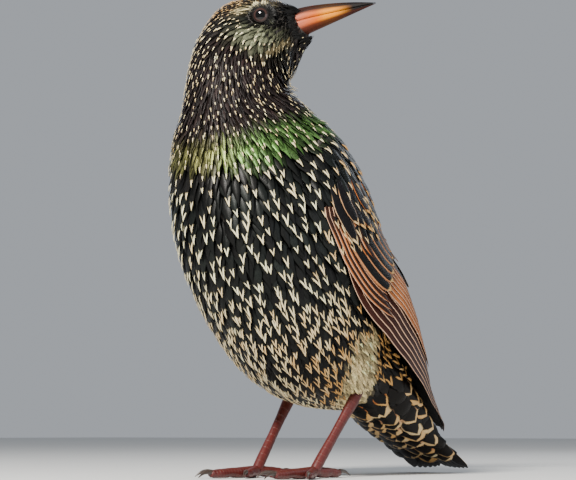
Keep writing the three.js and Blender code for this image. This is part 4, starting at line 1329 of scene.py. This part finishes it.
def tube(points, side, depth, around, steps, up, bumps=None):
    c, _ = catmull(points, steps)
    t = np.linspace(0, 1, steps)
    k = np.linspace(0, 1, len(side))
    w = np.interp(t, k, side)
    h = np.interp(t, k, depth)
    for _ in range(3):
        w[1:-1] = (w[:-2] + 2 * w[1:-1] + w[2:]) / 4
        h[1:-1] = (h[:-2] + 2 * h[1:-1] + h[2:]) / 4
    d = unit(np.gradient(c, axis=0))
    a = unit(np.cross(d, up))
    b_ = unit(np.cross(a, d))
    q = np.linspace(0, 2 * math.pi, around, endpoint=False)
    extra = bumps(t[:, None], q[None]) if bumps else 0.0
    p = c[:, None] + a[:, None] * ((w[:, None] + extra) * np.cos(q))[..., None] + b_[:, None] * ((h[:, None] + extra) * np.sin(q))[..., None]
    v = np.vstack([p.reshape(-1, 3), c[0] - d[0] * side[0] * 0.35, c[-1] + d[-1] * side[-1] * 0.35])
    m = around
    i, j = np.meshgrid(np.arange(steps - 1), np.arange(m), indexing="ij")
    j2 = (j + 1) % m
    q4 = np.stack([i * m + j, i * m + j2, (i + 1) * m + j2, (i + 1) * m + j], -1).reshape(-1, 4)
    ja = np.arange(m)
    t3 = np.vstack([np.stack([np.full(m, steps * m), (ja + 1) % m, ja], 1), np.stack([np.full(m, steps * m + 1), (steps - 1) * m + ja, (steps - 1) * m + (ja + 1) % m], 1)])
    return v, q4, t3, t, q


# a core inside the tail, under the feathers
v, q4, t3, _, _ = tube([TAIL_ROOT - TAIL_DIR * 6, TAIL_ROOT + TAIL_DIR * 12, TAIL_ROOT + TAIL_DIR * 30, TAIL_ROOT + TAIL_DIR * 42, TAIL_TIP - TAIL_DIR * 9], [9.5, 9.6, 9.0, 7.6, 4.0], [7.0, 5.0, 2.4, 0.9, 0.3], 28, 40, Z)
me = fill("tail_core", v, q4[:, ::-1], t3[:, ::-1])
piece("tail_core", me, skin_mat)

# ------------------------------------------------------------------ legs
m, nt, b = material("leg_scales")
g = Graph(nt)
ln_, ar_ = g.uv("Scale")
pos = g.place()
n1 = g.noise(pos, 700.0, 3.0)
row = g.math("FRACT", ln_)
groove = g.map(g.math("ABSOLUTE", g.math("SUBTRACT", row, 0.5)), 0.40, 0.5)
col = g.blend(n1, rgba(0.052, 0.0045, 0.004), rgba(0.098, 0.012, 0.009))
col = g.blend(g.math("MULTIPLY", groove, 0.45), col, rgba(0.14, 0.032, 0.022))
nt.links.new(col, b.inputs["Base Color"])
b.inputs["Roughness"].default_value = 0.42
b.inputs["Subsurface Weight"].default_value = 0.05
b.inputs["Subsurface Scale"].default_value = 0.001
g.bump(g.math("SUBTRACT", g.math("MULTIPLY", n1, 0.3), groove), 0.6, 0.00025, b)
leg_mat = m

m, nt, b = material("claw_horn")
g = Graph(nt)
n1 = g.noise(g.place(), 500.0, 2.0)
nt.links.new(g.blend(n1, rgba(0.018, 0.012, 0.010), rgba(0.06, 0.040, 0.030)), b.inputs["Base Color"])
b.inputs["Roughness"].default_value = 0.28
g.bump(n1, 0.15, 0.0001, b)
claw_mat = m

ANKLE = np.array([13.4, 19.0, 26.5])
SOLE = np.array([11.5, -1.5, 2.2])
TOES = [("inner", -27, 14.5, 1.45, 5.2), ("middle", 3, 20.5, 1.55, 6.0), ("outer", 31, 15.5, 1.4, 5.0), ("hind", 182, 13.0, 1.6, 7.0)]


def scale_uv(t, q, length, per_mm):
    m = len(q)
    uv = np.stack([np.repeat(t * length * per_mm, m), np.tile(q / (2 * math.pi), len(t))], 1)
    return np.vstack([uv, [0, 0], [t[-1] * length * per_mm, 0]])


for side, sgn in (("left", 1), ("right", -1)):
    mir = np.array([sgn, 1, 1])
    an, so = ANKLE * mir, SOLE * mir
    d = unit(so - an)
    scute = lambda rows: (lambda t, q: 0.055 * (np.abs(((t * rows) % 1.0) - 0.5) * -2 + 1) * (0.6 + 0.4 * np.cos(q - math.pi / 2)))
    v, q4, t3, t, q = tube([an - d * 3.5, an + d * 1.2, mix(an, so, 0.3), mix(an, so, 0.65), mix(an, so, 0.9), so + [0, 0.2, 0]], [1.3, 1.75, 1.32, 1.28, 1.45, 1.6], [1.6, 2.05, 1.72, 1.6, 1.75, 1.8], 28, 150, np.array([0.0, 1.0, 0.0]), scute(13))
    me = fill("shank_" + side + "_scaled", v, q4, t3, {"Scale": scale_uv(t, q, 31, 0.42)})
    piece("shank_" + side + "_scaled", me, leg_mat, ("shank_" + side,))
    for name, turn_, L, r, C in TOES:
        a = math.radians(turn_) * sgn
        way = np.array([math.sin(a), -math.cos(a), 0])
        at = lambda dd_, z: np.array([so[0], so[1], 0]) + way * dd_ + Z * z
        pts = [at(0.0, 2.0), at(L * 0.22, 1.75), at(L * 0.42, 1.4), at(L * 0.6, 1.6), at(L * 0.8, 1.2), at(L + 0.5, 1.25)]
        sz = np.array([1.0, 1.02, 1.12, 0.86, 0.98, 0.62]) * r
        v, q4, t3, t, q = tube(pts, sz, sz * 1.02, 22, 90, Z, lambda t, q, L=L: 0.05 * (np.abs(((t * L * 0.8) % 1.0) - 0.5) * -2 + 1) * np.ones_like(q))
        v[:, 2] = np.maximum(v[:, 2], 0.0)
        key = "toe_" + side + "_" + name
        me = fill(key + "_scaled", v, q4, t3, {"Scale": scale_uv(t, q, L, 0.8)})
        piece(key + "_scaled", me, leg_mat, (key,))
        cp = [at(L - 1.4, 1.35), at(L + C * 0.25, 1.85), at(L + C * 0.55, 1.65), at(L + C * 0.82, 0.95), at(L + C, 0.28)]
        cs = np.array([0.85, 0.8, 0.62, 0.38, 0.14])
        v, q4, t3, t, q = tube(cp, cs * 0.8, cs, 16, 34, Z)
        v[:, 2] = np.maximum(v[:, 2], 0.0)
        key = "claw_" + side + "_" + name
        me = fill(key + "_fine", v, q4, t3)
        piece(key + "_fine", me, claw_mat, (key,))

# ------------------------------------------------------------------ bill
m, nt, b = material("bill_horn")
g = Graph(nt)
al, ar = g.uv("Bill")
n1 = g.noise(g.vec(g.math("MULTIPLY", al, 9.0), g.math("MULTIPLY", ar, 14.0)), 1.0, 3.0)
tpos = g.math("ADD", al, g.math("MULTIPLY", g.math("SUBTRACT", n1, 0.5), 0.05))
col = g.blend(g.map(tpos, 0.10, 0.42), rgba(0.33, 0.095, 0.062), rgba(0.46, 0.085, 0.004))
col = g.blend(g.map(tpos, 0.36, 0.50), col, rgba(0.58, 0.19, 0.0005))
col = g.blend(g.map(tpos, 0.54, 0.78), col, rgba(0.004, 0.003, 0.003))
lower, _, _, _ = g.attr("Lower")
ridge = g.map(g.math("ADD", ar, g.math("MULTIPLY", g.math("SUBTRACT", n1, 0.5), 0.2)), 0.16, 0.46)
dark = g.math("MULTIPLY", ridge, g.math("SUBTRACT", 1.0, lower))
col = g.blend(g.math("MULTIPLY", dark, 0.96), col, rgba(0.006, 0.004, 0.004))
# painted shade: the underside of the lower half of the bill is darkened to dark red-brown
under = g.math("MULTIPLY", g.map(ar, 0.22, 0.60), lower)
col = g.blend(g.math("MULTIPLY", under, 0.92), col, rgba(0.045, 0.010, 0.006))
nt.links.new(col, b.inputs["Base Color"])
b.inputs["Roughness"].default_value = 0.46
b.inputs["Specular IOR Level"].default_value = 0.12
b.inputs["Subsurface Weight"].default_value = 0.06
b.inputs["Subsurface Scale"].default_value = 0.002
g.bump(n1, 0.2, 0.0002, b)
bill_mat = m

ROOT_F, TIP_F = 11.0, 41.6


def bill_half(upper):
    steps, n = 70, 28
    t = np.linspace(0, 1, steps)
    tc = np.clip((mix(ROOT_F, TIP_F - 0.15, t) - 12.0) / 29.2, 0, 1)
    f = mix(ROOT_F, TIP_F - 0.15, t)
    c = mix(-0.9, -0.6, tc) - 0.9 * np.maximum(0, 0.35 - tc) ** 2 * 8
    half = 4.0 * (1 - tc) ** 0.82 * 0.94 + 0.16
    c = c + 0.5 * (1 - tc) ** 1.5
    high = 4.8 * (1 - tc**2.1) + 0.14 if upper else 5.2 * (1 - tc) ** 1.04 + 0.14
    a = np.linspace(0, math.pi, n)
    x = half[:, None] * np.cos(a)
    ridge_k = 0.92 + 0.08 * np.abs(np.cos(a)) if upper else 1.0
    y = high[:, None] * np.sin(a) ** 0.8 * ridge_k
    # a nostril slot in a shallow hollow at the root of the upper half
    if upper:
        hole = np.exp(-(((t[:, None] - 0.20) / 0.055) ** 2) - ((np.abs(np.cos(a))[None] - 0.72) / 0.13) ** 2)
        x = x * (1 - 0.17 * hole)
        y = y * (1 - 0.12 * hole)
    gap = 0.10
    sgn = 1 if upper else -1
    p = head_at(f[:, None] + 0 * x, x, c[:, None] + sgn * (gap + y))
    # inner face, along the gape
    inner = head_at(f[:, None] + 0 * x[:, 1:-1], x[:, 1:-1][:, ::-1] * 0.92, (c[:, None] + sgn * gap) + 0 * x[:, 1:-1])
    ring = np.concatenate([p, inner], 1)
    m_ = ring.shape[1]
    v = np.vstack([ring.reshape(-1, 3), head_at(ROOT_F - 0.3, 0, c[0] + sgn * 1.5), head_at(TIP_F, 0, c[-1] + sgn * (gap + 0.06))])
    i, j = np.meshgrid(np.arange(steps - 1), np.arange(m_), indexing="ij")
    j2 = (j + 1) % m_
    q4 = np.stack([i * m_ + j, i * m_ + j2, (i + 1) * m_ + j2, (i + 1) * m_ + j], -1).reshape(-1, 4)
    ja = np.arange(m_)
    t3 = np.vstack([np.stack([np.full(m_, steps * m_), (ja + 1) % m_, ja], 1), np.stack([np.full(m_, steps * m_ + 1), (steps - 1) * m_ + ja, (steps - 1) * m_ + (ja + 1) % m_], 1)])
    if not upper:
        q4, t3 = q4[:, ::-1], t3[:, ::-1]
    arc = np.concatenate([np.sin(a), np.zeros(n - 2)])
    uv = np.vstack([np.stack([np.repeat(t, m_), np.tile(arc, steps)], 1), [[0, 0.5], [1, 0.5]]])
    col = np.tile([0.0 if upper else 1.0, 0, 0, 1], (len(v), 1))
    return v, q4[:, ::-1], t3[:, ::-1], uv, col


for upper, nm in ((True, "bill_upper"), (False, "bill_lower")):
    v, q4, t3, uv, col = bill_half(upper)
    me = fill(nm + "_fine", v, q4, t3, {"Bill": uv}, {"Lower": col})
    piece(nm + "_fine", me, bill_mat, (nm,))

# ------------------------------------------------------------------ eyes and lids
m, nt, b = material("eye")
g = Graph(nt)
cosine, ang_, _, _ = g.attr("Ball")
n1 = g.noise(g.vec(g.math("MULTIPLY", ang_, 60.0), g.math("MULTIPLY", cosine, 8.0)), 1.0, 3.0)
iris = g.blend(n1, rgba(0.016, 0.008, 0.007), rgba(0.042, 0.021, 0.017))
col = g.blend(g.map(cosine, 0.918, 0.934), iris, rgba(0.002, 0.002, 0.002))
col = g.blend(g.map(cosine, 0.856, 0.838), col, rgba(0.006, 0.005, 0.005))
nt.links.new(col, b.inputs["Base Color"])
b.inputs["Roughness"].default_value = 0.5
b.inputs["Coat Weight"].default_value = 1.0
b.inputs["Coat Roughness"].default_value = 0.02
b.inputs["Coat IOR"].default_value = 1.38
b.inputs["Specular IOR Level"].default_value = 0.0
eye_mat = m

m, nt, b = material("lid")
g = Graph(nt)
n1 = g.noise(g.place(), 1500.0, 3.0)
nt.links.new(g.blend(n1, rgba(0.002, 0.0018, 0.0016), rgba(0.007, 0.005, 0.004)), b.inputs["Base Color"])
b.inputs["Roughness"].default_value = 0.55
b.inputs["Specular IOR Level"].default_value = 0.15
g.bump(n1, 0.5, 0.0002, b)
lid_mat = m

for k, (nm, sg) in enumerate((("eye_right", -1), ("eye_left", 1))):
    axis = HL * sg
    c = EYES[k] - axis * EYE_IN
    e1 = unit(np.cross(axis, HU))
    e2 = np.cross(axis, e1)
    rings, around = 40, 56
    th = np.linspace(0, math.pi, rings + 2)[1:-1]
    ph = np.linspace(0, 2 * math.pi, around, endpoint=False)
    bulge = 1 + 0.02 * smooth(0.8, 0.3, th)
    p = c + EYE_R * bulge[:, None, None] * (np.cos(th)[:, None, None] * axis + np.sin(th)[:, None, None] * (np.cos(ph)[None, :, None] * e1 + np.sin(ph)[None, :, None] * e2))
    v = np.vstack([p.reshape(-1, 3), c + axis * EYE_R * 1.02, c - axis * EYE_R])
    m_ = around
    i, j = np.meshgrid(np.arange(rings - 1), np.arange(m_), indexing="ij")
    j2 = (j + 1) % m_
    q4 = np.stack([i * m_ + j, (i + 1) * m_ + j, (i + 1) * m_ + j2, i * m_ + j2], -1).reshape(-1, 4)
    ja = np.arange(m_)
    t3 = np.vstack([np.stack([np.full(m_, rings * m_), ja, (ja + 1) % m_], 1), np.stack([np.full(m_, rings * m_ + 1), (rings - 1) * m_ + (ja + 1) % m_, (rings - 1) * m_ + ja], 1)])
    col = np.zeros((len(v), 4))
    col[:, 3] = 1
    col[: rings * m_, 0] = np.repeat(np.clip(np.cos(th), 0, 1), m_)
    col[: rings * m_, 1] = np.tile(ph / (2 * math.pi), rings)
    col[rings * m_, 0] = 1
    me = fill(nm + "_ball", v, q4, t3, {}, {"Ball": col})
    piece(nm + "_ball", me, eye_mat, (nm,))
    # the lids: a folded rim on the ball, running out under the feathers
    prof = np.array([(2.18, 3.26), (2.22, 3.42), (2.34, 3.48), (2.44, 3.36), (2.52, 3.34), (2.58, 3.14), (2.66, 2.60), (2.95, 1.8), (3.8, 0.9), (4.0, 0.4), (3.7, 0.4), (2.75, 1.4), (2.45, 2.6)])
    around, m_ = 110, len(prof)
    ph = np.linspace(0, 2 * math.pi, around, endpoint=False)
    oval = 1 + 0.025 * np.cos(2 * ph) + 0.006 * np.cos(23 * ph)
    rad = np.cos(ph)[:, None] * e1 + np.sin(ph)[:, None] * e2
    p = c + rad[:, None] * (prof[None, :, 0] * oval[:, None])[..., None] + axis * prof[None, :, 1, None]
    v = p.reshape(-1, 3)
    i, j = np.meshgrid(np.arange(around), np.arange(m_), indexing="ij")
    i2, j2 = (i + 1) % around, (j + 1) % m_
    q4 = np.stack([i * m_ + j, i2 * m_ + j, i2 * m_ + j2, i * m_ + j2], -1).reshape(-1, 4)
    me = fill(nm + "_lid", v, q4, np.zeros((0, 3)))
    piece(nm + "_lid", me, lid_mat)

# ------------------------------------------------------------------ floor, light and camera
m, nt, b = material("floor")
g = Graph(nt)
n1 = g.noise(g.place(), 40.0, 3.0)
nt.links.new(g.blend(n1, rgba(0.62, 0.62, 0.61), rgba(0.66, 0.66, 0.65)), b.inputs["Base Color"])
b.inputs["Roughness"].default_value = 0.9
floor_mesh = bpy.data.meshes.new("floor")
floor_mesh.from_pydata([(-3, -3, -0.0002), (3, -3, -0.0002), (3, 3, -0.0002), (-3, 3, -0.0002)], [], [(0, 1, 2, 3)])
floor_mesh.materials.append(m)
floor = bpy.data.objects.new("floor", floor_mesh)
bpy.context.scene.collection.objects.link(floor)

world = bpy.data.worlds.new("studio")
bpy.context.scene.world = world
world.use_nodes = True
bg = world.node_tree.nodes["Background"]
bg.inputs[0].default_value = (0.80, 0.85, 0.92, 1)
bg.inputs[1].default_value = 0.48


def area(name, where, aim, size, power, color=(1, 1, 1)):
    l = bpy.data.lights.new(name, "AREA")
    l.shape = "DISK"
    l.size = size
    l.energy = power
    l.color = color
    o = bpy.data.objects.new(name, l)
    bpy.context.scene.collection.objects.link(o)
    o.location = Vector(where)
    o.rotation_mode = "QUATERNION"
    o.rotation_quaternion = (Vector(aim) - Vector(where)).to_track_quat("-Z", "Y")
    return o


AZ, DIST, CAM_Z, PITCH = 38.0, 520.0, 14.0, 6.7
a_, p_ = math.radians(AZ), math.radians(PITCH)
back_ = np.array([math.sin(a_), -math.cos(a_), 0.0])
right_ = np.array([math.cos(a_), math.sin(a_), 0.0])
aim = to_m([0, -5, 85])


def from_camera(b_, r_, z_):
    """A place given by its distance towards the camera, to its right and up, in metres."""
    return tuple(back_ * b_ + right_ * r_ + Z * z_)


area("key", from_camera(0.62, -0.26, 0.52), aim, 0.16, 17.0, (1.0, 0.965, 0.90))
area("fill", from_camera(0.55, 0.5, 0.15), aim, 0.5, 1.6, (0.9, 0.95, 1.0))
area("rim", from_camera(-0.45, 0.45, 0.4), aim, 0.3, 0.9, (0.85, 0.92, 1.0))

cam_data = bpy.data.cameras.new("camera")
cam = bpy.data.objects.new("camera", cam_data)
bpy.context.scene.collection.objects.link(cam)
cam_data.sensor_width = 36.0
cam_data.lens = 3.15 * DIST * 36.0 / 576.0
cam.location = Vector(to_m(back_ * DIST + Z * CAM_Z))
look = Vector((-back_[0] * math.cos(p_), -back_[1] * math.cos(p_), math.sin(p_)))
cam.rotation_mode = "QUATERNION"
cam.rotation_quaternion = look.to_track_quat("-Z", "Y")
cam_data.clip_start, cam_data.clip_end = 0.02, 20
cam_data.dof.use_dof = False
bpy.context.scene.camera = cam
